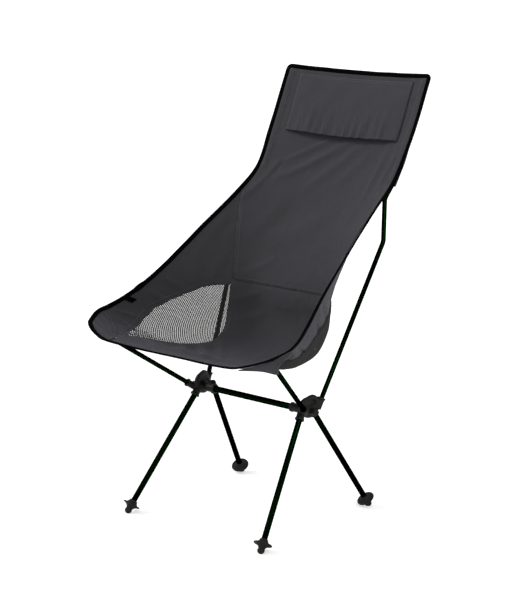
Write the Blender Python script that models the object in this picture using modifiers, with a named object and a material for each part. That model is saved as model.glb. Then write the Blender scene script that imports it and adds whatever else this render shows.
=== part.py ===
"""Ultralight high-back backpacking chair, pitched for use.

Two moulded hubs on a crossbar carry four legs, two seat poles and two back poles.
A sewn sling hangs between the tips of the seat poles and of the back poles.
Metres, +Z up, front towards -Y, origin on the ground under the middle of the chair.
"""
import math

import bmesh
import bpy
from mathutils import Matrix, Vector

# ---- driving dimensions (right side of the chair; the left one is its mirror image) ----
GAP = 0.0003              # clearance kept between pieces that touch
TUBE_SIDES_RES = 4        # bevel resolution of the tubes: 12 sides
LEG_RADIUS = 0.0067
POLE_RADIUS = 0.0055
CROSSBAR_RADIUS = 0.0073
TUBE_WALL = 0.0009
CORD_RADIUS = 0.00125
LEG_SOCKET_DEPTH = 0.020
POLE_SOCKET_DEPTH = 0.018
SOCKET_WALL = 0.0026
SOCKET_LIP = 0.0016       # how far a socket's mouth ring stands proud
LIP_SETBACK = 0.0012      # from a socket's mouth to the start of its barrel
FERRULE_LENGTH = 0.056
FERRULE_WALL = 0.0008
TIP_CAP_RADIUS = 0.0060
CLOTH = 0.0010            # thickness of the sewn panels
SEAM_GAP = 0.0006         # half of the clearance between two panels
BINDING_RADIUS = 0.0032
BINDING_INSET = 0.0062    # from the edge line to the cloth inside the binding
CORNER_ROUNDING = 0.008   # from a corner of the cloth to where its turn starts
SLEEVE_DEPTHS = ((0.0, 0.0136), (0.185, 0.0142), (0.235, 0.0165), (0.285, 0.0168))  # (v, depth)
POLE_BEHIND_CLOTH = 0.0082
PAD_DEPTH = 0.0085
PAD_THICKNESS = 0.0024

CROSSBAR_HEIGHT = 0.266
CROSSBAR_MOUTH_X = 0.113
CROSSBAR_BORE_X = 0.137
HUB_CENTRE = Vector((0.1570, 0.0040, 0.2640))
FRONT_LEG_MOUTH = Vector((0.1560, -0.0260, 0.2490))
REAR_LEG_MOUTH = Vector((0.1495, 0.0385, 0.2465))
SEAT_POLE_MOUTH = Vector((0.1730, -0.0330, 0.2790))
BACK_POLE_MOUTH = Vector((0.1680, 0.0390, 0.2890))
FRONT_FOOT = Vector((0.1960, -0.1990, 0.0200))
REAR_FOOT = Vector((0.1910, 0.1770, 0.0200))
SEAT_POLE_TIP = Vector((0.2580, -0.2340, 0.4275))  # where the poles' lines meet the corner pockets
SEAT_POLE_SHORT = 0.012   # the pole ends this far before it
LOWER_BEND = Vector((0.2115, 0.2030, 0.6240))
SHOULDER_BEND = Vector((0.1890, 0.2370, 0.7145))
BEND_RADIUS = 0.030
LOWER_JOINT_BELOW_BEND = 0.045
UPPER_JOINT_ABOVE_BEND = 0.045
SLEEVE_BEND_BELOW = 0.050  # from the middle of the sleeve down to the pole's last bend

HUB_WEB = ((-0.018, 0.2615), (-0.015, 0.2850), (0.0140, 0.2930), (0.0300, 0.2740), (0.0120, 0.2625))
MIDDLE_Y = 0.0545         # from the crossbar back to the middle of the chair's length
GROUND_CUT = 0.0009       # height at which the round tips of the feet are cut flat

# Sling: side edge, centre line (y, z) and squareness of the section, top to front.
SLING_STATIONS = (
    ((0.2060, 0.3810, 0.9800), (0.392, 0.974), 2.0),
    ((0.2045, 0.3090, 0.8360), (0.332, 0.822), 2.0),
    ((0.1990, 0.2520, 0.7470), (0.284, 0.728), 2.0),
    ((0.2010, 0.1920, 0.7030), (0.245, 0.665), 2.2),
    ((0.2180, 0.0680, 0.6220), (0.184, 0.585), 2.8),
    ((0.2360, -0.0510, 0.5420), (0.124, 0.490), 3.4),
    ((0.2500, -0.1050, 0.5080), (0.102, 0.420), 3.8),
    ((0.2620, -0.1460, 0.4870), (0.055, 0.374), 3.8),
    ((0.2720, -0.1800, 0.4740), (-0.035, 0.358), 3.4),
    ((0.2770, -0.2140, 0.4650), (-0.140, 0.377), 2.8),
    ((0.2620, -0.2570, 0.4500), (-0.243, 0.409), 2.0),
)
# Front edge from the middle to the corner: share of the half width, and place.
FRONT_EDGE = (
    (0.00, (0.000, -0.243, 0.409)),
    (0.36, (0.100, -0.260, 0.4145)),
    (0.56, (0.150, -0.275, 0.421)),
    (0.72, (0.192, -0.284, 0.428)),
    (0.89, (0.236, -0.274, 0.441)),
    (1.00, (0.262, -0.257, 0.450)),
)
FRONT_BLEND_STATION = 7   # from here forward the section bends into the front edge

# Seams, as (v, u) on the sling: v runs from the top edge (0) to the front edge (1),
# and u from the middle (0) to the side edge (1).
BACK_SEAM_V = 0.634
MESH_TOP_V = 0.648
MESH_END_V = 0.922
WING_TOP_V = 0.374
WING_END_V = 0.950
CORNER_START_V = 0.888
SLEEVE_U = 0.885
SLEEVE_END_V = 0.285
HEADREST_U = 0.80
HEADREST_V = (0.018, 0.176)
PAD_U = 0.66
WING_SEAM = ((0.372, 0.985), (0.445, 0.84), (0.517, 0.73), (0.585, 0.65), (0.634, 0.61), (0.648, 0.61))
MESH_OUTER = ((0.648, 0.612), (0.660, 0.73), (0.672, 0.79), (0.695, 0.84), (0.725, 0.88), (0.765, 0.90),
              (0.818, 0.88), (0.875, 0.82), (0.922, 0.76), (0.955, 0.74))
MESH_INNER = ((0.648, 0.608), (0.710, 0.58), (0.750, 0.53), (0.795, 0.505), (0.828, 0.575), (0.883, 0.71),
              (0.922, 0.75), (0.955, 0.73))
CORNER_SEAM = ((0.870, 1.02), (0.910, 0.91), (0.958, 0.735), (1.000, 0.67))
BACK_BREAKS = [0.045, 0.09, 0.135, 0.18, 0.225, 0.26, 0.295, 0.33, 0.41, 0.48, 0.55, 0.61]
CORNER_BREAKS = [0.888, 0.900, 0.935, 0.975]
POCKET_FRONT_U = 0.72     # where the corner pocket's hem leaves the front edge
POCKET_SIDE_V = 0.900     # and where it leaves the side edge
# Where the hem wraps under the pole: along it, below it and beside it, from the pole's line at its tip.
POCKET_HEM = ((-0.012, 0.0072, -0.0035), (-0.012, 0.0074, 0.0022), (-0.012, 0.0052, 0.0070))
POCKET_SWELL = 0.0035

COLLECTION = "backpacking_chair"

FINISHES = {
    "anodised": ((0.006, 0.012, 0.007, 1.0), 0.28, 0.9),
    "hub_nylon": ((0.026, 0.026, 0.024, 1.0), 0.55, 0.0),
    "foot_rubber": ((0.020, 0.020, 0.019, 1.0), 0.70, 0.0),
    "ferrule_alloy": ((0.55, 0.56, 0.57, 1.0), 0.35, 1.0),
    "elastic_cord": ((0.03, 0.03, 0.03, 1.0), 0.80, 0.0),
    "sling_fabric": ((0.048, 0.048, 0.055, 1.0), 0.75, 0.0),
    "mesh_fabric": ((0.030, 0.030, 0.028, 1.0), 0.80, 0.0),
    "binding_tape": ((0.004, 0.004, 0.004, 1.0), 0.65, 0.0),
    "pad_foam": ((0.20, 0.20, 0.21, 1.0), 0.90, 0.0),
}


# ---- scene helpers ----
def clear_scene():
    for old in list(bpy.data.objects):
        bpy.data.objects.remove(old, do_unlink=True)


def make_collection(name):
    group = bpy.data.collections.new(name)
    bpy.context.scene.collection.children.link(group)
    return group


def finish_material(node_name, finish):
    colour, roughness, metallic = FINISHES[finish]
    material = bpy.data.materials.new(node_name + "_" + finish)
    material.use_nodes = True
    shader = material.node_tree.nodes["Principled BSDF"]
    shader.inputs["Base Color"].default_value = colour
    shader.inputs["Roughness"].default_value = roughness
    shader.inputs["Metallic"].default_value = metallic
    material.diffuse_color = colour
    return material


def add_part(name, mesh, finish, smooth_angle=35.0):
    part = bpy.data.objects.new(name, mesh)
    parts.objects.link(part)
    mesh.materials.clear()
    mesh.materials.append(finish_material(name, finish))
    if smooth_angle:
        mesh.shade_smooth()
        mesh.set_sharp_from_angle(angle=math.radians(smooth_angle))
    return part


def add_pivot(name, place, direction, children):
    """Empty on a joint's axis that carries the pieces of that joint."""
    pivot = bpy.data.objects.new(name, None)
    parts.objects.link(pivot)
    pivot.matrix_basis = axis_frame(place, direction)
    for child in children:
        child.parent = pivot
        child.matrix_parent_inverse = pivot.matrix_basis.inverted()


def stand_on_base():
    """Carry every piece on one empty that puts the origin under the middle of the chair."""
    base = bpy.data.objects.new("chair_base", None)
    parts.objects.link(base)
    base.location = (0.0, -MIDDLE_Y, -GROUND_CUT)
    for piece in list(parts.objects) + list(cutters.objects):
        if piece is not base and piece.parent is None:
            piece.parent = base


def mirrored(point, side):
    return Vector((point.x * side, point.y, point.z))


def axis_frame(origin, direction):
    """Matrix whose +Z runs along direction from origin."""
    turn = Vector((0.0, 0.0, 1.0)).rotation_difference(direction.normalized())
    return Matrix.Translation(origin) @ turn.to_matrix().to_4x4()


# ---- solid shapes ----
def swept_mesh(points, radius, caps, resolution=TUBE_SIDES_RES, cyclic=False):
    """Round section along points, as a mesh in world coordinates."""
    curve = bpy.data.curves.new("sweep", "CURVE")
    curve.dimensions = "3D"
    curve.bevel_depth = radius
    curve.bevel_resolution = resolution
    curve.use_fill_caps = caps
    spline = curve.splines.new("POLY")
    spline.points.add(len(points) - 1)
    for target, place in zip(spline.points, points):
        target.co = (place.x, place.y, place.z, 1.0)
    spline.use_cyclic_u = cyclic
    guide = bpy.data.objects.new("sweep", curve)
    parts.objects.link(guide)
    evaluated = guide.evaluated_get(bpy.context.evaluated_depsgraph_get())
    mesh = bpy.data.meshes.new_from_object(evaluated)
    bpy.data.objects.remove(guide, do_unlink=True)
    bpy.data.curves.remove(curve)
    work = bmesh.new()
    work.from_mesh(mesh)
    bmesh.ops.remove_doubles(work, verts=work.verts, dist=0.00001)
    work.to_mesh(mesh)
    work.free()
    return mesh


def add_tube(name, points, radius, finish="anodised"):
    """Open swept skin that Solidify turns into a hollow tube."""
    tube = add_part(name, swept_mesh(points, radius, caps=False), finish)
    wall = tube.modifiers.new("wall", "SOLIDIFY")
    wall.thickness = TUBE_WALL
    wall.offset = -1.0
    wall.use_even_offset = True
    return tube


def add_rod(name, points, radius, finish, resolution=1):
    return add_part(name, swept_mesh(points, radius, True, resolution), finish)


def add_turned(name, profile, origin, direction, finish, steps=24):
    """Closed (radius, height) outline turned about +Z, then laid along direction."""
    outline = bmesh.new()
    corners = [outline.verts.new((radius, 0.0, height)) for radius, height in profile]
    for start, end in zip(corners, corners[1:]):
        outline.edges.new((start, end))
    if profile[0][0] > 0.0:
        outline.edges.new((corners[-1], corners[0]))
    mesh = bpy.data.meshes.new(name)
    outline.to_mesh(mesh)
    outline.free()
    part = add_part(name, mesh, finish, smooth_angle=0.0)
    part.matrix_basis = axis_frame(origin, direction)
    screw = part.modifiers.new("turn", "SCREW")
    screw.steps = steps
    screw.render_steps = steps
    screw.use_merge_vertices = True
    screw.merge_threshold = 0.00001
    screw.use_smooth_shade = True
    return part


def cylinder_mesh(start, end, radius, sides=14):
    work = bmesh.new()
    length = (end - start).length
    bmesh.ops.create_cone(work, cap_ends=True, segments=sides, radius1=radius, radius2=radius, depth=length)
    bmesh.ops.transform(work, matrix=axis_frame((start + end) / 2, end - start), verts=work.verts)
    mesh = bpy.data.meshes.new("cylinder")
    work.to_mesh(mesh)
    work.free()
    return mesh


def plate_mesh(outline, x, thickness):
    """Flat plate with a (y, z) outline, from x on by thickness."""
    work = bmesh.new()
    face = work.faces.new([work.verts.new((x, y, z)) for y, z in outline])
    grown = bmesh.ops.extrude_face_region(work, geom=[face])["geom"]
    moved = [item for item in grown if isinstance(item, bmesh.types.BMVert)]
    bmesh.ops.translate(work, vec=(thickness, 0.0, 0.0), verts=moved)
    bmesh.ops.recalc_face_normals(work, faces=work.faces)
    mesh = bpy.data.meshes.new("plate")
    work.to_mesh(mesh)
    work.free()
    return mesh


def sphere_mesh(centre, radius, sides=12):
    work = bmesh.new()
    bmesh.ops.create_uvsphere(work, u_segments=sides, v_segments=sides // 2, radius=radius)
    bmesh.ops.translate(work, vec=centre, verts=work.verts)
    mesh = bpy.data.meshes.new("sphere")
    work.to_mesh(mesh)
    work.free()
    return mesh


def add_boolean(target, mesh, operation):
    tool = bpy.data.objects.new(target.name + "_tool", mesh)
    cutters.objects.link(tool)
    tool.hide_render = True
    tool.display_type = "WIRE"
    step = target.modifiers.new(operation.lower(), "BOOLEAN")
    step.operation = operation
    step.solver = "EXACT"
    step.object = tool


def rounded_path(corners, radius, steps=4):
    """Straight runs between corners, with an arc of the given radius at each inner one."""
    path = [corners[0]]
    for before, corner, after in zip(corners, corners[1:], corners[2:]):
        back = (before - corner).normalized()
        ahead = (after - corner).normalized()
        half_angle = back.angle(ahead) / 2
        reach = radius / math.tan(half_angle)
        centre = corner + (back + ahead).normalized() * radius / math.sin(half_angle)
        start = corner + back * reach - centre
        end = corner + ahead * reach - centre
        sweep = start.angle(end)
        for step in range(steps + 1):
            share = step / steps
            weight_start = math.sin((1 - share) * sweep) / math.sin(sweep)
            weight_end = math.sin(share * sweep) / math.sin(sweep)
            path.append(centre + start * weight_start + end * weight_end)
    path.append(corners[-1])
    return path


# ---- the sling's surface ----
def smooth_value(keys, values, at):
    """Cubic through values at keys; values are floats or Vectors."""
    at = min(max(at, keys[0]), keys[-1])
    last = len(keys) - 1
    index = max(i for i in range(last) if keys[i] <= at)

    def slope(i):
        if i == 0:
            return (values[1] - values[0]) / (keys[1] - keys[0])
        if i == last:
            return (values[last] - values[last - 1]) / (keys[last] - keys[last - 1])
        before = keys[i] - keys[i - 1]
        after = keys[i + 1] - keys[i]
        rise = (values[i + 1] - values[i]) / after
        fall = (values[i] - values[i - 1]) / before
        return (rise * before + fall * after) / (before + after)

    span = keys[index + 1] - keys[index]
    t = (at - keys[index]) / span
    return (values[index] * (2 * t ** 3 - 3 * t ** 2 + 1) + slope(index) * (span * (t ** 3 - 2 * t ** 2 + t))
            + values[index + 1] * (3 * t ** 2 - 2 * t ** 3) + slope(index + 1) * (span * (t ** 3 - t ** 2)))


EDGE_POINTS = [Vector(station[0]) for station in SLING_STATIONS]
CENTRE_POINTS = [Vector((0.0, *station[1])) for station in SLING_STATIONS]
SQUARENESS = [station[2] for station in SLING_STATIONS]
FRONT_SHARES = [share for share, place in FRONT_EDGE]
FRONT_POINTS = [Vector(place) for share, place in FRONT_EDGE]


def station_keys():
    """Station positions, spaced by length along the line midway between edge and centre."""
    middle = [(edge + centre) / 2 for edge, centre in zip(EDGE_POINTS, CENTRE_POINTS)]
    runs = [0.0]
    for start, end in zip(middle, middle[1:]):
        runs.append(runs[-1] + (end - start).length)
    return [run / runs[-1] for run in runs]


KEYS = station_keys()


def linear_value(table, at):
    """Straight-line reading of a table of (key, value) pairs."""
    at = min(max(at, table[0][0]), table[-1][0])
    for (key, value), (next_key, next_value) in zip(table, table[1:]):
        if at <= next_key:
            return value + (next_value - value) * (at - key) / (next_key - key)
    return table[-1][1]


def bare_sling(u, v):
    """Point of the cloth's middle surface."""
    share = abs(u)
    edge = smooth_value(KEYS, EDGE_POINTS, v)
    centre = smooth_value(KEYS, CENTRE_POINTS, v)
    power = linear_value(list(zip(KEYS, SQUARENESS)), v)
    place = centre + (edge - centre) * share ** power
    place.x = edge.x * share
    corner = FRONT_POINTS[-1]
    plain_front = FRONT_POINTS[0] + (corner - FRONT_POINTS[0]) * share ** 2
    plain_front.x = corner.x * share
    blend_start = KEYS[FRONT_BLEND_STATION]
    blend = max(0.0, (v - blend_start) / (1 - blend_start)) ** 3
    place += (smooth_value(FRONT_SHARES, FRONT_POINTS, share) - plain_front) * blend
    if u < 0:
        place.x = -place.x
    return place


def sling_slopes(u, v):
    step = 0.002
    across = bare_sling(min(u + step, 1.0), v) - bare_sling(max(u - step, -1.0), v)
    across /= min(u + step, 1.0) - max(u - step, -1.0)
    along = bare_sling(u, min(v + step, 1.0)) - bare_sling(u, max(v - step, 0.0))
    along /= min(v + step, 1.0) - max(v - step, 0.0)
    return across, along


def sling(u, v, lift=0.0):
    """Point of the sling, raised towards the sitter by lift."""
    across, along = sling_slopes(u, v)
    return bare_sling(u, v) + along.cross(across).normalized() * lift


def side_limit(v, inset=BINDING_INSET):
    """The u that lies inset metres inside the side edge."""
    across, _ = sling_slopes(1.0, v)
    return 1.0 - inset / across.length


def gap_u(u, v, width=SEAM_GAP):
    across, _ = sling_slopes(u, v)
    return width / across.length


def end_v(v, width, u=0.3):
    """Move v by width metres along the sling."""
    _, along = sling_slopes(u, v)
    return v + width / along.length


def v_rows(start, end, count, extra=()):
    rows = {round(start + (end - start) * step / count, 6) for step in range(count + 1)}
    rows |= {value for value in extra if start + 0.004 < value < end - 0.004}
    return sorted(rows)


def add_cloth(name, rows, limits, columns, finish, lift=None, side=1, thickness=CLOTH):
    """Panel over rows of v, between the two u limits that limits(v) gives."""
    work = bmesh.new()
    bmesh.ops.create_grid(work, x_segments=columns, y_segments=len(rows) - 1, size=0.5)
    for vert in work.verts:
        share = vert.co.x + 0.5
        row = rows[round((vert.co.y + 0.5) * (len(rows) - 1))]
        low, high = limits(row)
        u = low + (high - low) * share
        height = lift(share, row) if lift else 0.0
        vert.co = mirrored(sling(u, row, height), side)
    mesh = bpy.data.meshes.new(name)
    work.to_mesh(mesh)
    work.free()
    panel = add_part(name, mesh, finish, smooth_angle=50.0)
    body = panel.modifiers.new("thickness", "SOLIDIFY")
    body.thickness = thickness
    body.offset = 0.0
    return panel


# ---- frame ----
def socket_direction(mouth, outside):
    return (outside - mouth).normalized()


def add_hub(label, side):
    """One moulding: five sockets, an arch from the front leg to the back pole, and a boss."""
    def place(point):
        return mirrored(point, side)

    bar_mouth = Vector((CROSSBAR_MOUTH_X, 0.0, CROSSBAR_HEIGHT))
    bar_inner = Vector((HUB_CENTRE.x, 0.0, CROSSBAR_HEIGHT))
    sockets = (
        (FRONT_LEG_MOUTH, FRONT_FOOT, LEG_RADIUS, LEG_SOCKET_DEPTH),
        (REAR_LEG_MOUTH, REAR_FOOT, LEG_RADIUS, LEG_SOCKET_DEPTH),
        (SEAT_POLE_MOUTH, SEAT_POLE_TIP, POLE_RADIUS, POLE_SOCKET_DEPTH),
        (BACK_POLE_MOUTH, LOWER_BEND, POLE_RADIUS, POLE_SOCKET_DEPTH),
    )
    hub = add_part("hub_" + label, sphere_mesh(place(HUB_CENTRE), 0.0165), "hub_nylon")
    bar_radius = CROSSBAR_RADIUS + SOCKET_WALL
    bar_start = bar_mouth + Vector((LIP_SETBACK, 0.0, 0.0))
    add_boolean(hub, cylinder_mesh(place(bar_start), place(bar_inner), bar_radius), "UNION")
    lip_end = bar_mouth + Vector((0.005, 0.0, 0.0))
    add_boolean(hub, cylinder_mesh(place(bar_mouth), place(lip_end), bar_radius + SOCKET_LIP), "UNION")
    for mouth, outside, radius, depth in sockets:
        inward = -socket_direction(mouth, outside)
        barrel = radius + SOCKET_WALL
        body_end = place(mouth + inward * (depth + 0.009))
        lip = place(mouth + inward * 0.0045)
        add_boolean(hub, cylinder_mesh(place(mouth + inward * LIP_SETBACK), body_end, barrel), "UNION")
        add_boolean(hub, cylinder_mesh(place(mouth), lip, barrel + SOCKET_LIP), "UNION")
    arch = rounded_path([place(Vector(point)) for point in (
        (0.1550, -0.0190, 0.2580), (0.1555, -0.0160, 0.2880), (0.1620, 0.0160, 0.2960),
        (0.1665, 0.0330, 0.2760))], 0.012, 3)
    add_boolean(hub, swept_mesh(arch, 0.0062, True, 3), "UNION")
    add_boolean(hub, plate_mesh(HUB_WEB, 0.1545 * side, 0.0080 * side), "UNION")
    boss_out = Vector((0.1830, 0.0, CROSSBAR_HEIGHT))
    boss_recess = Vector((0.1790, 0.0, CROSSBAR_HEIGHT))
    add_boolean(hub, cylinder_mesh(place(bar_inner), place(boss_out), 0.0076), "UNION")
    bore_end = Vector((CROSSBAR_BORE_X, 0.0, CROSSBAR_HEIGHT))
    outside_bar = bar_mouth - Vector((0.010, 0.0, 0.0))
    add_boolean(hub, cylinder_mesh(place(outside_bar), place(bore_end), CROSSBAR_RADIUS + GAP), "DIFFERENCE")
    for mouth, outside, radius, depth in sockets:
        inward = -socket_direction(mouth, outside)
        start = place(mouth - inward * 0.010)
        bottom = place(mouth + inward * depth)
        add_boolean(hub, cylinder_mesh(start, bottom, radius + GAP), "DIFFERENCE")
    recess_start = boss_out + Vector((0.005, 0.0, 0.0))
    add_boolean(hub, cylinder_mesh(place(recess_start), place(boss_recess), 0.0048), "DIFFERENCE")
    plug_start = place(boss_recess + Vector((GAP, 0.0, 0.0)))
    plug_end = place(boss_out - Vector((0.0008, 0.0, 0.0)))
    add_part("hub_plug_" + label, cylinder_mesh(plug_start, plug_end, 0.0045, 18), "hub_nylon")


def add_foot(name, centre, outward):
    """Turned foot: collar, wide disc and round tip, cut flat where it meets the ground."""
    bore = LEG_RADIUS + GAP
    tip = []
    for step in range(5):
        angle = math.radians(22.5 * step)
        tip.append((0.0082 * math.cos(math.pi / 2 - angle), 0.0155 + 0.0082 * math.sin(math.pi / 2 - angle)))
    rim = [(0.0210 - 0.0018 + 0.0018 * math.cos(math.radians(a)), 0.0018 * math.sin(math.radians(a)))
           for a in (90, 30, -30, -90)]
    profile = tip + [(0.0086, 0.0090), (0.0125, 0.0032)] + rim
    profile += [(0.0130, -0.0030), (0.0102, -0.0058), (0.0092, -0.0095), (bore, -0.0100), (bore, -0.0030),
                (0.0, -0.0030)]
    foot = add_turned(name, profile, centre, outward, "foot_rubber", steps=14)
    ground = bmesh.new()
    bmesh.ops.create_cube(ground, size=0.06)
    bmesh.ops.translate(ground, vec=(centre.x, centre.y, -0.03 + GROUND_CUT), verts=ground.verts)
    block = bpy.data.meshes.new("ground_block")
    ground.to_mesh(block)
    ground.free()
    add_boolean(foot, block, "DIFFERENCE")
    return foot


def add_leg(position, label, side, mouth, foot_centre):
    start_mouth = mirrored(mouth, side)
    end = mirrored(foot_centre, side)
    outward = (end - start_mouth).normalized()
    top = start_mouth - outward * (LEG_SOCKET_DEPTH - GAP)
    bottom = end - outward * (0.0030 + GAP)
    tube_name = "leg_{}_{}".format(position, label)
    tube = add_tube(tube_name, [top, bottom], LEG_RADIUS)
    foot = add_foot("foot_{}_{}".format(position, label), end, outward)
    add_pivot(tube_name + "_slide", start_mouth, outward, (tube, foot))
    add_shock_cord("shock_cord_" + tube_name, [top, bottom])


def add_shock_cord(name, tube_path):
    """Elastic cord down the middle of a pole, with its knot at the far end."""
    path = list(tube_path)
    path[0] = path[0] + (path[1] - path[0]).normalized() * 0.001
    path[-1] = path[-1] + (path[-2] - path[-1]).normalized() * 0.012
    cord = add_rod(name, path, CORD_RADIUS, "elastic_cord")
    add_boolean(cord, sphere_mesh(path[-1], 0.0026, 6), "UNION")


def add_tip_cap(name, tip, outward):
    """Round-ended cap whose stem plugs the end of a pole."""
    stem = POLE_RADIUS - TUBE_WALL - GAP
    dome = [(TIP_CAP_RADIUS * math.sin(math.radians(a)), 0.0045 + TIP_CAP_RADIUS * math.cos(math.radians(a)))
            for a in range(0, 91, 30)]
    profile = dome + [(TIP_CAP_RADIUS, GAP), (stem, GAP), (stem, -0.009), (0.0, -0.009)]
    add_turned(name, profile, tip, outward, "hub_nylon", steps=12)


def add_ferrule(name, joint, direction):
    outer = POLE_RADIUS - TUBE_WALL - GAP
    inner = outer - FERRULE_WALL
    half = FERRULE_LENGTH / 2
    profile = [(outer, half), (outer, -half), (inner, -half), (inner, half)]
    add_turned(name, profile, joint, direction, "ferrule_alloy", steps=12)


def add_seat_pole(label, side):
    mouth = mirrored(SEAT_POLE_MOUTH, side)
    tip = mirrored(SEAT_POLE_TIP, side)
    outward = (tip - mouth).normalized()
    tip -= outward * SEAT_POLE_SHORT
    root = mouth - outward * (POLE_SOCKET_DEPTH - GAP)
    add_tube("seat_pole_" + label, [root, tip], POLE_RADIUS)
    add_tip_cap("seat_pole_tip_" + label, tip, outward)
    add_shock_cord("shock_cord_seat_pole_" + label, [root, tip])


def upper_pole_point(v):
    """Centre of the back pole's upper section, behind the cloth inside its sleeve."""
    u = (SLEEVE_U + side_limit(v)) / 2
    return sling(u, v, -POLE_BEHIND_CLOTH)


def add_back_pole(label, side):
    mouth = mirrored(BACK_POLE_MOUTH, side)
    lower_bend = mirrored(LOWER_BEND, side)
    shoulder_bend = mirrored(SHOULDER_BEND, side)
    top = mirrored(upper_pole_point(0.036), side)
    sleeve_middle = mirrored(upper_pole_point(0.200), side)
    top_run = (top - sleeve_middle).normalized()
    sleeve_bend = sleeve_middle - top_run * SLEEVE_BEND_BELOW
    up = (lower_bend - mouth).normalized()
    root = mouth - up * (POLE_SOCKET_DEPTH - GAP)
    first_joint = lower_bend - up * LOWER_JOINT_BELOW_BEND
    second_joint = sleeve_bend + top_run * UPPER_JOINT_ABOVE_BEND
    bent = rounded_path([first_joint + up * GAP, lower_bend, shoulder_bend, sleeve_bend,
                         second_joint - top_run * GAP], BEND_RADIUS)
    add_tube("back_pole_lower_" + label, [root, first_joint], POLE_RADIUS)
    add_tube("back_pole_middle_" + label, bent, POLE_RADIUS)
    add_tube("back_pole_upper_" + label, [second_joint, top], POLE_RADIUS)
    add_ferrule("ferrule_lower_" + label, first_joint, up)
    add_ferrule("ferrule_upper_" + label, second_joint, top_run)
    add_tip_cap("back_pole_tip_" + label, top, top_run)
    add_shock_cord("shock_cord_back_pole_" + label, [root] + bent[1:-1] + [top])


# ---- sling ----
def add_panels():
    seam_vs = [key for key, _ in WING_SEAM + MESH_OUTER + MESH_INNER + CORNER_SEAM] + CORNER_BREAKS
    top_v = end_v(0.0, BINDING_INSET)
    front_v = end_v(1.0, -BINDING_INSET)

    def back_limits(v):
        edge = side_limit(v)
        if v > WING_SEAM[0][0]:
            seam = linear_value(WING_SEAM, v)
            edge = min(edge, seam - gap_u(seam, v))
        return -edge, edge

    def seat_limits(v):
        if v <= MESH_TOP_V:
            edge = linear_value(WING_SEAM, v)
        elif v <= WING_END_V:
            edge = linear_value(MESH_INNER, v)
        else:
            edge = min(linear_value(MESH_INNER, v), linear_value(CORNER_SEAM, v))
        edge -= gap_u(edge, v)
        return -edge, edge

    def wing_limits(v):
        inner = linear_value(WING_SEAM if v <= MESH_TOP_V else MESH_OUTER, v)
        outer = side_limit(v)
        if v > CORNER_SEAM[0][0]:
            corner = linear_value(CORNER_SEAM, v)
            outer = min(outer, corner - gap_u(corner, v))
        inner += gap_u(inner, v)
        return inner, max(outer, inner + 0.004)

    def mesh_limits(v):
        inner = linear_value(MESH_INNER, v)
        outer = linear_value(MESH_OUTER, v)
        return inner + gap_u(inner, v), outer - gap_u(outer, v)

    def corner_limits(v):
        seam = linear_value(CORNER_SEAM, v)
        return seam + gap_u(seam, v), side_limit(v)

    back_rows = v_rows(top_v, end_v(BACK_SEAM_V, -SEAM_GAP), 1, seam_vs + BACK_BREAKS)
    seat_rows = v_rows(end_v(BACK_SEAM_V, SEAM_GAP), front_v, 1, seam_vs)
    wing_rows = v_rows(WING_TOP_V, WING_END_V, 1, seam_vs + BACK_BREAKS)
    mesh_rows = v_rows(end_v(MESH_TOP_V, 5 * SEAM_GAP), MESH_END_V - 0.006, 1, seam_vs)
    corner_rows = v_rows(CORNER_START_V, end_v(1.0, -BINDING_INSET, 0.96), 1, seam_vs)
    add_cloth("back_panel", back_rows, back_limits, 10, "sling_fabric")
    add_cloth("seat_panel", seat_rows, seat_limits, 10, "sling_fabric")
    for label, side in SIDES:
        add_cloth("side_wing_" + label, wing_rows, wing_limits, 4, "sling_fabric", side=side)
        add_cloth("mesh_panel_" + label, mesh_rows, mesh_limits, 5, "mesh_fabric", side=side)
        add_cloth("corner_patch_" + label, corner_rows, corner_limits, 6, "sling_fabric", side=side)


def add_pole_sleeve(label, side):
    """Narrow channel sewn to the back of the cloth, closed at the top over the pole's tip."""
    def limits(v):
        return SLEEVE_U, side_limit(v, BINDING_INSET - 0.001)

    def lift(share, v):
        arch = (1 - abs(2 * share - 1) ** 2.6) ** (1 / 2.6)
        taper = min(1.0, max(0.0, (v - 0.009) / 0.020))
        return -(0.0016 + linear_value(SLEEVE_DEPTHS, v) * arch * math.sqrt(taper))

    rows = v_rows(0.009, SLEEVE_END_V, 7, (0.014, 0.020, 0.029))
    add_cloth("pole_sleeve_" + label, rows, limits, 8, "sling_fabric", lift, side)


def headrest_lift(share, v):
    """Forward swell of the headrest cover: flat at the sewn sides, fullest low down."""
    down = (v - HEADREST_V[0]) / (HEADREST_V[1] - HEADREST_V[0])
    across = (1 - abs(2 * share - 1) ** 4) ** 0.5
    return 0.0018 + (PAD_DEPTH + 0.0022) * across * math.sin(math.pi * min(down, 0.85) * 0.62) ** 0.8


def add_headrest():
    def limits(v):
        return -HEADREST_U, HEADREST_U

    rows = v_rows(HEADREST_V[0], HEADREST_V[1], 6)
    add_cloth("headrest_pocket", rows, limits, 10, "sling_fabric", headrest_lift)

    def pad_limits(v):
        return -PAD_U, PAD_U

    pad_rows = v_rows(HEADREST_V[0] + 0.040, HEADREST_V[1] - 0.014, 4)

    def pad_lift(share, v):
        whole = 0.5 + (share - 0.5) * PAD_U / HEADREST_U
        return (headrest_lift(whole, v) + 0.0002) / 2

    pad = add_cloth("headrest_pad", pad_rows, pad_limits, 8, "pad_foam", pad_lift, thickness=PAD_THICKNESS)
    pad.modifiers["thickness"].use_even_offset = False


def corner_turn(before, corner, after):
    """Three points of a soft turn past a corner of the cloth."""
    return [before * (1 - t) ** 2 + corner * (2 * t * (1 - t)) + after * t ** 2 for t in (0.25, 0.5, 0.75)]


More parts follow.
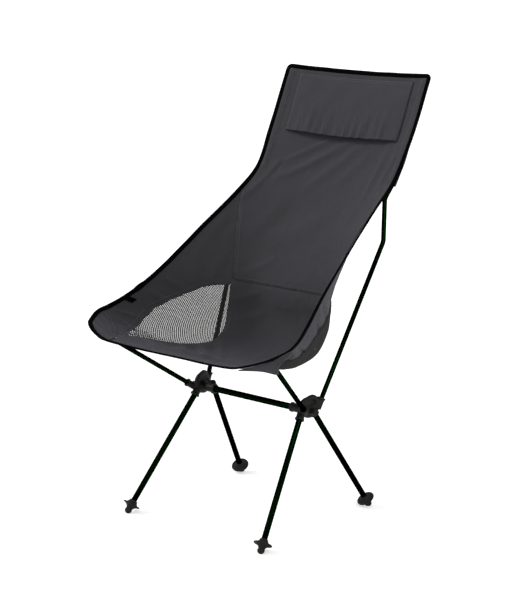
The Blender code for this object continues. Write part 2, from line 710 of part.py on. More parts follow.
def sling_rim():
    """Closed line of the cloth's edge, with rounded corners, in order round the chair."""
    near_side = 1.0 - CORNER_ROUNDING / EDGE_POINTS[0].x
    from_top = end_v(0.0, CORNER_ROUNDING)
    to_front = end_v(1.0, -CORNER_ROUNDING)
    across = [near_side * step / 10 for step in range(-10, 11)]
    down = [from_top + (to_front - from_top) * step / 32 for step in range(33)]
    top = [sling(u, 0.0) for u in across]
    right = [sling(1.0, v) for v in down]
    front = [sling(u, 1.0) for u in reversed(across)]
    left = [sling(-1.0, v) for v in reversed(down)]
    rim = top + corner_turn(top[-1], sling(1.0, 0.0), right[0])
    rim += right + corner_turn(right[-1], sling(1.0, 1.0), front[0])
    rim += front + corner_turn(front[-1], sling(-1.0, 1.0), left[0])
    return rim + left + corner_turn(left[-1], sling(-1.0, 0.0), top[0])


def add_binding():
    add_part("edge_binding", swept_mesh(sling_rim(), BINDING_RADIUS, False, 1, cyclic=True), "binding_tape")


def add_corner_pocket(label, side):
    """Three-cornered pocket under the front corner that takes the seat pole's tip."""
    outward = (SEAT_POLE_TIP - SEAT_POLE_MOUTH).normalized()
    below = (Vector((0.0, 0.0, -1.0)) + outward * outward.z).normalized()
    beside = outward.cross(below)
    rim = [sling(POCKET_FRONT_U + (0.97 - POCKET_FRONT_U) * step / 8, end_v(1.0, -0.007), -0.0050)
           for step in range(8)]
    rim += [sling(side_limit(v, 0.007), v, -0.0050)
            for v in (end_v(1.0, -0.010), 0.975, 0.960, 0.945, 0.930, 0.915, POCKET_SIDE_V)]
    under = [SEAT_POLE_TIP + outward * ahead + below * down + beside * across
             for ahead, down, across in POCKET_HEM]
    hem = [rim[0].lerp(under[0], step / 6) for step in range(6)] + under
    hem += [under[-1].lerp(rim[-1], step / 6) for step in range(1, 7)]
    work = bmesh.new()
    columns = len(rim) - 1
    bmesh.ops.create_grid(work, x_segments=columns, y_segments=5, size=0.5)
    for vert in work.verts:
        column = round((vert.co.x + 0.5) * columns)
        drop = vert.co.y + 0.5
        swell = below * (POCKET_SWELL * math.sin(math.pi * drop) * math.sin(math.pi * column / columns))
        vert.co = mirrored(rim[column].lerp(hem[column] + below * 0.0010, drop) + swell, side)
    mesh = bpy.data.meshes.new("corner_pocket")
    work.to_mesh(mesh)
    work.free()
    pocket = add_part("corner_pocket_" + label, mesh, "sling_fabric", smooth_angle=50.0)
    body = pocket.modifiers.new("thickness", "SOLIDIFY")
    body.thickness = CLOTH
    body.offset = 0.0


def add_label_tab():
    def limits(v):
        outer = side_limit(v, 0.0045)
        return outer - gap_u(outer, v, 0.0165), outer

    def lift(share, v):
        return 0.0042

    add_cloth("label_tab", v_rows(0.765, 0.781, 2), limits, 3, "binding_tape", lift, -1, 0.0008)


# ---- build ----
clear_scene()
parts = make_collection(COLLECTION)
cutters = make_collection("cutters")
SIDES = (("right", 1), ("left", -1))

bar_end = CROSSBAR_BORE_X - GAP
bar_points = [Vector((-bar_end, 0.0, CROSSBAR_HEIGHT)), Vector((bar_end, 0.0, CROSSBAR_HEIGHT))]
add_tube("crossbar", bar_points, CROSSBAR_RADIUS)
add_shock_cord("shock_cord_crossbar", bar_points)
for label, side in SIDES:
    add_hub(label, side)
    add_leg("front", label, side, FRONT_LEG_MOUTH, FRONT_FOOT)
    add_leg("rear", label, side, REAR_LEG_MOUTH, REAR_FOOT)
    add_seat_pole(label, side)
    add_back_pole(label, side)
    add_pole_sleeve(label, side)
    add_corner_pocket(label, side)
add_panels()
add_headrest()
add_binding()
add_label_tab()
stand_on_base()
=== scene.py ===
"""Looks of the high-back backpacking chair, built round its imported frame.

Metres, +Z up, front towards -Y, origin on the ground under the middle of the chair.
"""
import math

import bmesh
import bpy
from mathutils import Matrix, Vector, noise


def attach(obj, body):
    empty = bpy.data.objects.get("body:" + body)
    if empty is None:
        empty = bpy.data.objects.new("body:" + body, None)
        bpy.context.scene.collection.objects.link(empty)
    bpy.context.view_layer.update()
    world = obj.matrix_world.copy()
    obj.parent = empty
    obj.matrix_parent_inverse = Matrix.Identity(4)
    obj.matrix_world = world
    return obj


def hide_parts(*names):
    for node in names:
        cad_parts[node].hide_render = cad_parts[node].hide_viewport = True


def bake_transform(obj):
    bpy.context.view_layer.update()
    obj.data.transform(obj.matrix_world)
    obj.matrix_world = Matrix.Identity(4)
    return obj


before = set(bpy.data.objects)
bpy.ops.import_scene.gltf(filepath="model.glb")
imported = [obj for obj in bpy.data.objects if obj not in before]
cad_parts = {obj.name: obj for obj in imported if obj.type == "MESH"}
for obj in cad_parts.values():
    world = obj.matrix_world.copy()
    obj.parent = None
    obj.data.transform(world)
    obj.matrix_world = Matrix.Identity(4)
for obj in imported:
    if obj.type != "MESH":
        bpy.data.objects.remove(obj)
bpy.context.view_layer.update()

ROOT = "frame_and_sling"
SIDES = (("right", 1), ("left", -1))

# ---- the chair's own dimensions, as in its CAD ----
ORIGIN = Vector((0.0, 0.0545, 0.0009))      # the chair's origin, from the crossbar's own axes
LEG_RADIUS = 0.0067
POLE_RADIUS = 0.0055
CROSSBAR_RADIUS = 0.0073
TUBE_WALL = 0.0009
GAP = 0.0003
LEG_SOCKET_DEPTH = 0.020
POLE_SOCKET_DEPTH = 0.018
CROSSBAR_HEIGHT = 0.266
CROSSBAR_END_X = 0.1367
FRONT_LEG_MOUTH = Vector((0.1560, -0.0260, 0.2490))
REAR_LEG_MOUTH = Vector((0.1495, 0.0385, 0.2465))
SEAT_POLE_MOUTH = Vector((0.1730, -0.0330, 0.2790))
BACK_POLE_MOUTH = Vector((0.1680, 0.0390, 0.2890))
FRONT_FOOT = Vector((0.1960, -0.1990, 0.0200))
REAR_FOOT = Vector((0.1910, 0.1770, 0.0200))
SEAT_POLE_TIP = Vector((0.2580, -0.2340, 0.4275))
SEAT_POLE_SHORT = 0.012
LOWER_BEND = Vector((0.2115, 0.2030, 0.6240))
SHOULDER_BEND = Vector((0.1890, 0.2370, 0.7145))
BEND_RADIUS = 0.030
BEND_STEPS = 10
JOINT_FROM_BEND = 0.045
SLEEVE_BEND_BELOW = 0.050
POLE_BEHIND_CLOTH = 0.0082
BINDING_INSET = 0.0062
SLEEVE_DEPTHS = ((0.0, 0.0136), (0.185, 0.0142), (0.235, 0.0165), (0.285, 0.0168))

# Sling: side edge, centre line (y, z) and squareness of the section, top to front.
SLING_STATIONS = (
    ((0.2060, 0.3810, 0.9800), (0.392, 0.974), 2.0),
    ((0.2045, 0.3090, 0.8360), (0.332, 0.822), 2.0),
    ((0.1990, 0.2520, 0.7470), (0.284, 0.728), 2.0),
    ((0.2010, 0.1920, 0.7030), (0.245, 0.665), 2.2),
    ((0.2180, 0.0680, 0.6220), (0.184, 0.585), 2.8),
    ((0.2360, -0.0510, 0.5420), (0.124, 0.490), 3.4),
    ((0.2500, -0.1050, 0.5080), (0.102, 0.420), 3.8),
    ((0.2620, -0.1460, 0.4870), (0.055, 0.374), 3.8),
    ((0.2720, -0.1800, 0.4740), (-0.035, 0.358), 3.4),
    ((0.2770, -0.2140, 0.4650), (-0.140, 0.377), 2.8),
    ((0.2620, -0.2570, 0.4500), (-0.243, 0.409), 2.0),
)
# Front edge from the middle to the corner: share of the half width, and place.
FRONT_EDGE = (
    (0.00, (0.000, -0.243, 0.409)),
    (0.36, (0.100, -0.260, 0.4145)),
    (0.56, (0.150, -0.275, 0.421)),
    (0.72, (0.192, -0.284, 0.428)),
    (0.89, (0.236, -0.274, 0.441)),
    (1.00, (0.262, -0.257, 0.450)),
)
FRONT_BLEND_STATION = 7
FRONT_EASE = 0.07           # rounds the front edge off where its two halves meet

# Seams, as (v, u) on the sling: v runs from the top edge (0) to the front edge (1),
# and u from the middle (0) to the side edge (1).
BACK_SEAM_V = 0.634
WING_TOP_V = 0.374
WING_END_V = 0.950
SLEEVE_U = 0.885
SLEEVE_END_V = 0.285
HEADREST_U = 0.80
HEADREST_V = (0.018, 0.176)
PAD_U = 0.66
PAD_V = (HEADREST_V[0] + 0.040, HEADREST_V[1] - 0.014)
FOAM_THICKNESS = 0.0034
FOAM_RISE = 0.0004
PAD_DEPTH = 0.0105
WING_SEAM = ((0.372, 0.985), (0.445, 0.84), (0.517, 0.73), (0.585, 0.65), (0.634, 0.61), (0.648, 0.61))
MESH_OUTER = ((0.648, 0.612), (0.660, 0.73), (0.672, 0.79), (0.695, 0.84), (0.725, 0.88), (0.765, 0.90),
              (0.818, 0.88), (0.875, 0.825), (0.932, 0.755), (0.955, 0.74))
MESH_INNER = ((0.648, 0.608), (0.710, 0.58), (0.750, 0.53), (0.795, 0.505), (0.828, 0.575), (0.883, 0.70),
              (0.932, 0.750), (0.955, 0.73))
NET_POINT_V = 0.929
CORNER_SEAM = ((0.870, 1.02), (0.910, 0.91), (0.958, 0.735), (1.000, 0.67))
CORNER_TOP_V = 0.884
POCKET_FRONT_U = 0.72
POCKET_SIDE_V = 0.900
# Where the pocket's hem wraps under the pole: along it, below it and beside it.
POCKET_HEM = ((-0.009, 0.0068, -0.0035), (-0.009, 0.0070, 0.0022), (-0.009, 0.0050, 0.0068))
POCKET_SWELL = 0.0030
POCKET_INSET = 0.007        # where the pocket is sewn on, in from the cloth's edge
POCKET_UNDER = 0.0042       # and below the cloth
BAND_WIDTH = 0.0095
BAND_RISE = 0.0009
POCKET_HUG = 1.5           # how closely the hem keeps to the cloth's edge before it drops to the pole

# ---- how the cloth is cut and sewn ----
CLOTH_THICKNESS = 0.0006
TOP_CLOTH = 0.0006          # the layer that lies uppermost in a lapped seam
UNDER_CLOTH = -0.0005       # and the one that runs under it
SEAM_LAP = 0.008
NARROWEST = 0.0020          # a panel that runs out to a point keeps this width
NARROWEST_U = 0.004
LAP_DROP = 0.0011           # from the middle of the upper layer to the middle of the lower one
LAP_FADE = 0.018
POLE_SHOWS_THROUGH = 0.0022     # how far a back pole pushes the cloth out in front of its sleeve
NET_LIFT = -0.0013          # the net runs just under the cloth it is sewn to
NET_CELL = 0.0046           # corner to corner of one diamond
NET_STRAND = 0.0027
NET_FLATNESS = 0.40         # how thick a strand is, for its width
NET_STRETCH = 1.45          # the cloth's side is this much longer across than its cut share
NET_UNDER_SEAM = 0.0085
NET_MARGIN = 0.010
NET_WELD = 0.0004
STITCH_PITCH = 0.0036
STITCH_HALF = (0.00145, 0.00042, 0.00034)
STITCH_RISE = 0.00045       # a stitch's middle over the middle of the cloth
ROW_STEP = 0.003
LONGEST_STEP = 0.03
TAPE_IN = 0.0062            # how far the edge tape reaches in over the cloth
TAPE_TUCK = 0.0030          # and how far inside the rim the cloth's cut edge lies
EDGE_FADE = 0.012


# ---- the sling's surface ----
def mirrored(point, side):
    return Vector((point.x * side, point.y, point.z))


def smooth_value(keys, values, at):
    """Cubic through values at keys; values are floats or Vectors."""
    at = min(max(at, keys[0]), keys[-1])
    last = len(keys) - 1
    index = max(i for i in range(last) if keys[i] <= at)

    def slope(i):
        if i == 0:
            return (values[1] - values[0]) / (keys[1] - keys[0])
        if i == last:
            return (values[last] - values[last - 1]) / (keys[last] - keys[last - 1])
        before = keys[i] - keys[i - 1]
        after = keys[i + 1] - keys[i]
        rise = (values[i + 1] - values[i]) / after
        fall = (values[i] - values[i - 1]) / before
        return (rise * before + fall * after) / (before + after)

    span = keys[index + 1] - keys[index]
    t = (at - keys[index]) / span
    return (values[index] * (2 * t ** 3 - 3 * t ** 2 + 1) + slope(index) * (span * (t ** 3 - 2 * t ** 2 + t))
            + values[index + 1] * (3 * t ** 2 - 2 * t ** 3) + slope(index + 1) * (span * (t ** 3 - t ** 2)))


EDGE_POINTS = [Vector(station[0]) for station in SLING_STATIONS]
CENTRE_POINTS = [Vector((0.0, *station[1])) for station in SLING_STATIONS]
SQUARENESS = [station[2] for station in SLING_STATIONS]
FRONT_SHARES = [share for share, place in FRONT_EDGE]
FRONT_POINTS = [Vector(place) for share, place in FRONT_EDGE]


def station_runs():
    """Length along the line midway between edge and centre, up to each station."""
    middle = [(edge + centre) / 2 for edge, centre in zip(EDGE_POINTS, CENTRE_POINTS)]
    runs = [0.0]
    for start, end in zip(middle, middle[1:]):
        runs.append(runs[-1] + (end - start).length)
    return runs


RUNS = station_runs()
LENGTH = RUNS[-1]
KEYS = [run / LENGTH for run in RUNS]
HALF_WIDTH = 0.27           # cut half width of the cloth, from the middle to the side edge
PART_WAY_OUT = 0.3          # the u at which lengths along the cloth are read


def linear_value(table, at):
    """Straight-line reading of a table of (key, value) pairs."""
    at = min(max(at, table[0][0]), table[-1][0])
    for (key, value), (next_key, next_value) in zip(table, table[1:]):
        if at <= next_key:
            return value + (next_value - value) * (at - key) / (next_key - key)
    return table[-1][1]


SQUARENESS_TABLE = list(zip(KEYS, SQUARENESS))


def bare_sling(u, v):
    """Point of the cloth's middle surface."""
    share = abs(u)
    edge = smooth_value(KEYS, EDGE_POINTS, v)
    centre = smooth_value(KEYS, CENTRE_POINTS, v)
    power = linear_value(SQUARENESS_TABLE, v)
    place = centre + (edge - centre) * share ** power
    place.x = edge.x * share
    corner = FRONT_POINTS[-1]
    plain_front = FRONT_POINTS[0] + (corner - FRONT_POINTS[0]) * share ** 2
    plain_front.x = corner.x * share
    blend_start = KEYS[FRONT_BLEND_STATION]
    blend = max(0.0, (v - blend_start) / (1 - blend_start)) ** 3
    front = smooth_value(FRONT_SHARES, FRONT_POINTS, math.hypot(share, FRONT_EASE))
    front.x = smooth_value(FRONT_SHARES, FRONT_POINTS, share).x
    place += (front - plain_front) * blend
    if u < 0:
        place.x = -place.x
    return place - ORIGIN


SLOPE_STEP = 0.002


def sling_slopes(u, v):
    """How the cloth's place changes across and along it, per unit of u and v."""
    left, right = max(u - SLOPE_STEP, -1.0), min(u + SLOPE_STEP, 1.0)
    upper, lower = max(v - SLOPE_STEP, 0.0), min(v + SLOPE_STEP, 1.0)
    across = (bare_sling(right, v) - bare_sling(left, v)) / (right - left)
    along = (bare_sling(u, lower) - bare_sling(u, upper)) / (lower - upper)
    return across, along


def sling(u, v, lift=0.0):
    """Point of the sling, raised towards the sitter by lift."""
    across, along = sling_slopes(u, v)
    return bare_sling(u, v) + along.cross(across).normalized() * lift


def side_limit(v, inset=BINDING_INSET):
    """The u that lies inset metres inside the side edge."""
    across, _ = sling_slopes(1.0, v)
    return 1.0 - inset / across.length


def gap_u(u, v, width):
    """A width in metres across the cloth, as a step in u."""
    across, _ = sling_slopes(u, v)
    return width / across.length


def end_v(v, width):
    """The v that lies width metres further along the cloth."""
    _, along = sling_slopes(PART_WAY_OUT, v)
    return v + width / along.length


def cut_place(u, v):
    """Place of a point on the flat cut cloth, in metres."""
    return Vector((u * HALF_WIDTH, v * LENGTH))


# ---- folds, puckers and seams in the cloth ----
# Folds: start and end as (u, v), half width and height.
FOLD_GAIN = 1.7
SEAT_SLACK = 1.6            # the seat is slacker than the back
FOLD_TAIL = 0.15            # how far a fold runs out past its two ends, for its length
FOLD_BLUNTNESS = 0.7
BACK_FOLDS = (
    ((0.10, 0.182), (-0.66, 0.300), 0.010, 0.0030), ((-0.16, 0.180), (-0.74, 0.262), 0.007, 0.0022),
    ((0.30, 0.186), (-0.30, 0.318), 0.013, 0.0020), ((0.52, 0.190), (0.10, 0.300), 0.015, 0.0012),
    ((0.70, 0.188), (0.60, 0.350), 0.010, 0.0022), ((0.84, 0.210), (0.76, 0.330), 0.008, 0.0018),
    ((-0.78, 0.275), (-0.94, 0.400), 0.009, 0.0020), ((0.80, 0.290), (0.93, 0.390), 0.009, 0.0020),
    ((-0.70, 0.250), (-0.84, 0.330), 0.006, -0.0016), ((0.15, 0.380), (-0.35, 0.500), 0.040, 0.0030),
    ((-0.50, 0.360), (-0.66, 0.500), 0.022, 0.0018), ((0.45, 0.380), (0.58, 0.540), 0.024, 0.0020),
    ((0.30, 0.560), (0.56, 0.620), 0.010, 0.0016), ((-0.30, 0.560), (-0.56, 0.620), 0.010, 0.0014),
)
SEAT_FOLDS = (
    ((0.46, 0.795), (0.20, 0.850), 0.008, 0.0022), ((0.50, 0.830), (0.22, 0.885), 0.008, 0.0024),
    ((0.58, 0.850), (0.34, 0.910), 0.007, 0.0018), ((0.10, 0.860), (0.46, 0.895), 0.010, 0.0016),
    ((0.48, 0.730), (0.24, 0.700), 0.012, 0.0014), ((0.55, 0.680), (0.34, 0.655), 0.009, 0.0012),
    ((0.66, 0.905), (0.44, 0.948), 0.007, 0.0018), ((0.00, 0.700), (0.05, 0.830), 0.040, -0.0025),
    ((0.30, 0.955), (0.55, 0.965), 0.008, 0.0012),
)
WING_FOLDS = (
    ((0.86, 0.690), (0.97, 0.660), 0.006, 0.0020), ((0.90, 0.735), (0.98, 0.712), 0.006, 0.0022),
    ((0.80, 0.665), (0.90, 0.600), 0.009, 0.0022), ((0.74, 0.655), (0.76, 0.590), 0.008, 0.0018),
    ((0.88, 0.820), (0.97, 0.850), 0.006, 0.0020), ((0.80, 0.895), (0.93, 0.880), 0.006, 0.0022),
    ((0.82, 0.480), (0.72, 0.580), 0.012, 0.0016), ((0.93, 0.450), (0.90, 0.580), 0.012, 0.0018),
    ((0.70, 0.560), (0.66, 0.615), 0.007, -0.0014),
)
CORNER_FOLDS = (
    ((0.80, 0.955), (0.98, 0.925), 0.005, 0.0018), ((0.78, 0.970), (0.98, 0.958), 0.005, 0.0022),
    ((0.77, 0.985), (0.96, 0.985), 0.005, 0.0016), ((0.90, 0.925), (0.98, 0.905), 0.004, 0.0014),
)


def fold_height(u, v, folds):
    """Height of all the folds that pass near a point."""
    here = cut_place(u, v)
    total = 0.0
    for start, end, width, height in folds:
        begin, finish = cut_place(*start), cut_place(*end)
        run = finish - begin
        along = (here - begin).dot(run) / run.length_squared
        if -FOLD_TAIL < along < 1.0 + FOLD_TAIL:
            away = abs((here - begin).cross(run)) / run.length
            share = (along + FOLD_TAIL) / (1.0 + 2 * FOLD_TAIL)
            fade = math.sin(math.pi * min(max(share, 0.0), 1.0)) ** FOLD_BLUNTNESS
            total += FOLD_GAIN * height * fade * math.exp(-(away / width) ** 2)
    return total


# Gentle unevenness of each panel: height, size and seed of each layer of it.
BACK_WAVES = ((0.0016, 0.075, 1.7), (0.0005, 0.020, 5.2))
SEAT_WAVES = ((0.0018, 0.080, 9.3), (0.0006, 0.022, 2.9))
WING_WAVES = ((0.0015, 0.060, 4.4), (0.0006, 0.018, 7.7))
CORNER_WAVES = ((0.0008, 0.030, 6.1),)
HEADREST_WAVES = ((0.0016, 0.050, 3.3),)


def wave_height(u, v, waves):
    total = 0.0
    for height, size, seed in waves:
        place = cut_place(u, v) / size
        total += height * noise.noise(Vector((place.x, place.y, seed)))
    return total


PUCKER_REACH = 0.030
PUCKER_HEIGHT = 0.0016
PUCKER_PITCH = 0.009
PUCKER_WIDTH = 0.012
PUCKER_SEED = 3.1
GROOVE_DEPTH = 0.0009       # the stitches pull the cloth in along the seam itself
GROOVE_WIDTH = 0.0030


def seam_pucker(u, v, seams):
    """Small ripples square to a sewn line, dying out beside it."""
    here = cut_place(u, v)
    total = 0.0
    for segments, low, high in seams:
        if not (low.x < here.x < high.x and low.y < here.y < high.y):
            continue
        nearest, nearest_run = PUCKER_REACH, 0.0
        for begin, run, run_before in segments:
            along = min(max((here - begin).dot(run) / run.length_squared, 0.0), 1.0)
            away = (here - begin - run * along).length
            if away < nearest:
                nearest, nearest_run = away, run_before + run.length * along
        ripple = noise.noise(Vector((nearest_run / PUCKER_PITCH, PUCKER_SEED, 0.0)))
        total += PUCKER_HEIGHT * ripple * math.exp(-(nearest / PUCKER_WIDTH) ** 2)
        total -= GROOVE_DEPTH * math.exp(-(nearest / GROOVE_WIDTH) ** 2)
    return total


def sewn_line(points):
    """A seam ready for seam_pucker: its flat runs, and the box that its ripples reach."""
    flat = [cut_place(*point) for point in points]
    segments = []
    run_before = 0.0
    for begin, finish in zip(flat, flat[1:]):
        segments.append((begin, finish - begin, run_before))
        run_before += (finish - begin).length
    low = Vector((min(p.x for p in flat) - PUCKER_REACH, min(p.y for p in flat) - PUCKER_REACH))
    high = Vector((max(p.x for p in flat) + PUCKER_REACH, max(p.y for p in flat) + PUCKER_REACH))
    return segments, low, high


def as_uv(table):
    return [(u, v) for v, u in table]


def both_sides(points):
    return [sewn_line(points), sewn_line([(-u, v) for u, v in points])]


WING_LINE = as_uv(WING_SEAM)
BACK_LINE = [(-0.61 + 1.22 * step / 12, BACK_SEAM_V) for step in range(13)]
SLEEVE_LINE = [(SLEEVE_U, 0.012 + (SLEEVE_END_V - 0.012) * step / 8) for step in range(9)]
MESH_OUTER_LINE = as_uv(MESH_OUTER[:-1])
MESH_INNER_LINE = as_uv(MESH_INNER[:-1])
CORNER_LINE = [(min(u, 0.985), v) for u, v in as_uv(CORNER_SEAM[:-1])]
BACK_SEAMS = both_sides(WING_LINE) + both_sides(SLEEVE_LINE) + [sewn_line(BACK_LINE)]
SEAT_SEAMS = [sewn_line(BACK_LINE)] + both_sides(MESH_INNER_LINE)
WING_SEAMS = [sewn_line(WING_LINE), sewn_line(MESH_OUTER_LINE), sewn_line(CORNER_LINE)]
CORNER_SEAMS = [sewn_line(CORNER_LINE)]


def back_lift(u, v):
    height = TOP_CLOTH + fold_height(u, v, BACK_FOLDS) + seam_pucker(u, v, BACK_SEAMS)
    height += wave_height(u, v, BACK_WAVES)
    if v < SLEEVE_END_V and abs(u) > SLEEVE_U:
        across = (abs(u) - SLEEVE_U) / (1.0 - SLEEVE_U)
        height += POLE_SHOWS_THROUGH * math.sin(math.pi * min(across, 1.0))
    return height * edge_fade(u, v)


def lapped(u, v, own, share):
    """Under a seam the lower layer keeps just below the back cloth, and leaves it past the seam."""
    share = min(max(share, 0.0), 1.0)
    if share > 0.0:
        own += (back_lift(u, v) - LAP_DROP - own) * share
    return own


def seat_lift(u, v):
    height = SEAT_SLACK * fold_height(abs(u), v, SEAT_FOLDS) + seam_pucker(u, v, SEAT_SEAMS)
    height += wave_height(u, v, SEAT_WAVES)
    return lapped(u, v, height * edge_fade(u, v), 1.0 - (v - BACK_SEAM_V) * LENGTH / LAP_FADE)


def wing_lift(u, v):
    height = UNDER_CLOTH + fold_height(u, v, WING_FOLDS) + seam_pucker(u, v, WING_SEAMS)
    height += wave_height(u, v, WING_WAVES)
    past_seam = (u - linear_value(WING_SEAM, v)) * HALF_WIDTH
    past_end = (v - BACK_SEAM_V) * LENGTH
    return lapped(u, v, height * edge_fade(u, v), 1.0 - max(past_seam, past_end) / LAP_FADE)


def corner_lift(u, v):
    height = fold_height(u, v, CORNER_FOLDS) + seam_pucker(u, v, CORNER_SEAMS)
    height += wave_height(u, v, CORNER_WAVES)
    return TOP_CLOTH + height * edge_fade(u, v)


def edge_fade(u, v):
    """Relief dies out under the edge tape."""
    away = min((1.0 - abs(u)) * HALF_WIDTH, v * LENGTH, (1.0 - v) * LENGTH)
    return min(1.0, max(0.0, (away - TAPE_TUCK) / EDGE_FADE))


# ---- making pieces ----
def new_piece(name, work, material, smooth_angle=50.0):
    mesh = bpy.data.meshes.new(name)
    work.to_mesh(mesh)
    work.free()
    mesh.materials.append(material)
    mesh.shade_smooth()
    if smooth_angle:
        mesh.set_sharp_from_angle(angle=math.radians(smooth_angle))
    piece = bpy.data.objects.new(name, mesh)
    bpy.context.scene.collection.objects.link(piece)
    return piece


def applied(piece):
    """Bake the piece's modifiers into its mesh."""
    evaluated = piece.evaluated_get(bpy.context.evaluated_depsgraph_get())
    mesh = bpy.data.meshes.new_from_object(evaluated)
    piece.modifiers.clear()
    piece.data = mesh
    return piece


def add_wall(piece, thickness, offset=0.0):
    wall = piece.modifiers.new("wall", "SOLIDIFY")
    wall.thickness = thickness
    wall.offset = offset
    return wall


def cloth_grid(columns, rows, place_at):
    """Grid of cloth whose corners go where place_at(share, down) says, with its cut as UV."""
    work = bmesh.new()
    bmesh.ops.create_grid(work, x_segments=columns, y_segments=rows, size=0.5)
    cut = work.loops.layers.uv.new("cut")
    for vert in work.verts:
        point, flat = place_at(vert.co.x + 0.5, vert.co.y + 0.5)
        for loop in vert.link_loops:
            loop[cut].uv = flat
        vert.co = point
    return work


def cut_size(work, columns, rows):
    """Width and length of the flat cut, and its area, from the mapped grid."""
    work.verts.ensure_lookup_table()
    area = sum(face.calc_area() for face in work.faces)
    wide = columns + 1
    widths = [sum((work.verts[row * wide + i + 1].co - work.verts[row * wide + i].co).length
                  for i in range(columns)) for row in range(rows + 1)]
    lengths = [sum((work.verts[(row + 1) * wide + i].co - work.verts[row * wide + i].co).length
                   for row in range(rows)) for i in range(wide)]
    return (max(widths), max(lengths)), area


def sewn_panel(name, span, limits, cells, lift, material, side=1, node=None):
    """Sheet of the sling between two v values and the u limits, held between its seams."""
    columns, rows = cells

    def place_at(share, down):
        v = span[0] + (span[1] - span[0]) * down
        low, high = limits(v)
        u = low + (high - low) * share
        return mirrored(sling(u, v, lift(u, v)), side), cut_place(u, v)

    work = cloth_grid(columns, rows, place_at)
    flat, area = cut_size(work, columns, rows)
    panel = new_piece(name, work, material)
    add_wall(panel, CLOTH_THICKNESS)
    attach(panel, ROOT)
    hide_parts(node or name.replace("_cloth", "_panel"))
    return panel


def resampled(points, pitch):
    """Points a pitch apart along a polyline, each with its direction."""
    result = []
    carry = pitch / 2
    for start, end in zip(points, points[1:]):
        run = end - start
        length = run.length
        if length < 1e-9:
            continue
        direction = run / length
        while carry < length:
            result.append((start + direction * carry, direction))
            carry += pitch
        carry -= length
    return result


def lay_stitches(work, line):
    """Stitches a pitch apart along a line of (place, up) pairs; a long gap starts a new row."""
    carry = STITCH_PITCH / 2
    for (start, up), (end, _) in zip(line, line[1:]):
        run = end - start
        length = run.length
        if not 0.0 < length < LONGEST_STEP:
            carry = STITCH_PITCH / 2
            continue
        direction = run / length
        across = up.cross(direction).normalized()
        turn = Matrix((direction, across, direction.cross(across))).transposed().to_4x4()
        while carry < length:
            spot = Matrix.Translation(start + direction * carry)
            bmesh.ops.create_icosphere(work, subdivisions=1, radius=1.0,
                                       matrix=spot @ turn @ Matrix.Diagonal((*STITCH_HALF, 1.0)))
            carry += STITCH_PITCH
        carry -= length


def add_stitches(work, line, lift, side=1, offset=0.0):
    """A row of stitches along a (u, v) line, moved sideways by offset metres."""
    row = []
    flat = [cut_place(*point) for point in line]
    for spot, direction in resampled(flat, ROW_STEP):
        moved = spot + Vector((-direction.y, direction.x)) * offset
        u, v = moved.x / HALF_WIDTH, moved.y / LENGTH
        if abs(u) <= 1.0 and 0.0 <= v <= 1.0:
            across, along = sling_slopes(u, v)
            up = along.cross(across).normalized()
            on_cloth = bare_sling(u, v) + up * (lift(u, v) + STITCH_RISE)
            row.append((mirrored(on_cloth, side), mirrored(up, side)))
    lay_stitches(work, row)


def stitch_piece(name, rows, material):
    work = bmesh.new()
    for row in rows:
        add_stitches(work, **row)
    stitches = new_piece(name, work, material, 0.0)
    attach(stitches, ROOT)


# ---- round things ----
def axis_frame(origin, direction):
    turn = Vector((0.0, 0.0, 1.0)).rotation_difference(direction.normalized())
    return Matrix.Translation(origin) @ turn.to_matrix().to_4x4()


def rounded_path(corners, radius):
    """Straight runs between corners, with an arc of the given radius at each inner one."""
    path = [corners[0]]
    for before, corner, after in zip(corners, corners[1:], corners[2:]):
        back = (before - corner).normalized()
        ahead = (after - corner).normalized()
        half_angle = back.angle(ahead) / 2
        reach = radius / math.tan(half_angle)
        centre = corner + (back + ahead).normalized() * radius / math.sin(half_angle)
        start = corner + back * reach - centre
        end = corner + ahead * reach - centre
        sweep = start.angle(end)
        for step in range(BEND_STEPS + 1):
            share = step / BEND_STEPS
            weight_start = math.sin((1 - share) * sweep) / math.sin(sweep)
            weight_end = math.sin(share * sweep) / math.sin(sweep)
            path.append(centre + start * weight_start + end * weight_end)
    path.append(corners[-1])
    return path


def swept_skin(path, radius, sides):
    """Round skin drawn along path by extruding one ring from point to point."""
    work = bmesh.new()
    first = (path[1] - path[0]).normalized()
    ring = bmesh.ops.create_circle(work, segments=sides, radius=radius,
                                   matrix=axis_frame(path[0], first))["verts"]
    edges = list({edge for vert in ring for edge in vert.link_edges})
    heading = first
    for index in range(1, len(path)):
        grown = bmesh.ops.extrude_edge_only(work, edges=edges)["geom"]
        verts = [item for item in grown if isinstance(item, bmesh.types.BMVert)]
        edges = [item for item in grown if isinstance(item, bmesh.types.BMEdge)]
        onward = (path[index + 1] - path[index]).normalized() if index + 1 < len(path) else \
            (path[index] - path[index - 1]).normalized()
        turn = heading.rotation_difference(onward).to_matrix()
        bmesh.ops.translate(work, verts=verts, vec=path[index] - path[index - 1])
        bmesh.ops.rotate(work, verts=verts, cent=path[index], matrix=turn)
        heading = onward
    bmesh.ops.recalc_face_normals(work, faces=work.faces)
    return work


def drawn_tube(name, path, radius, node, body, sides=28):
    """Hollow tube, with a ring of faces close to its upper end that keeps the cut crisp."""
    path = [path[0], path[0].lerp(path[1], 0.5 * TUBE_WALL / (path[1] - path[0]).length)] + path[1:]
    work = swept_skin(path, radius, sides)
    tube = new_piece(name, work, ANODISED, 40.0)
    wall = add_wall(tube, TUBE_WALL, -1.0)
    wall.use_even_offset = True
    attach(tube, body)
    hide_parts(node)


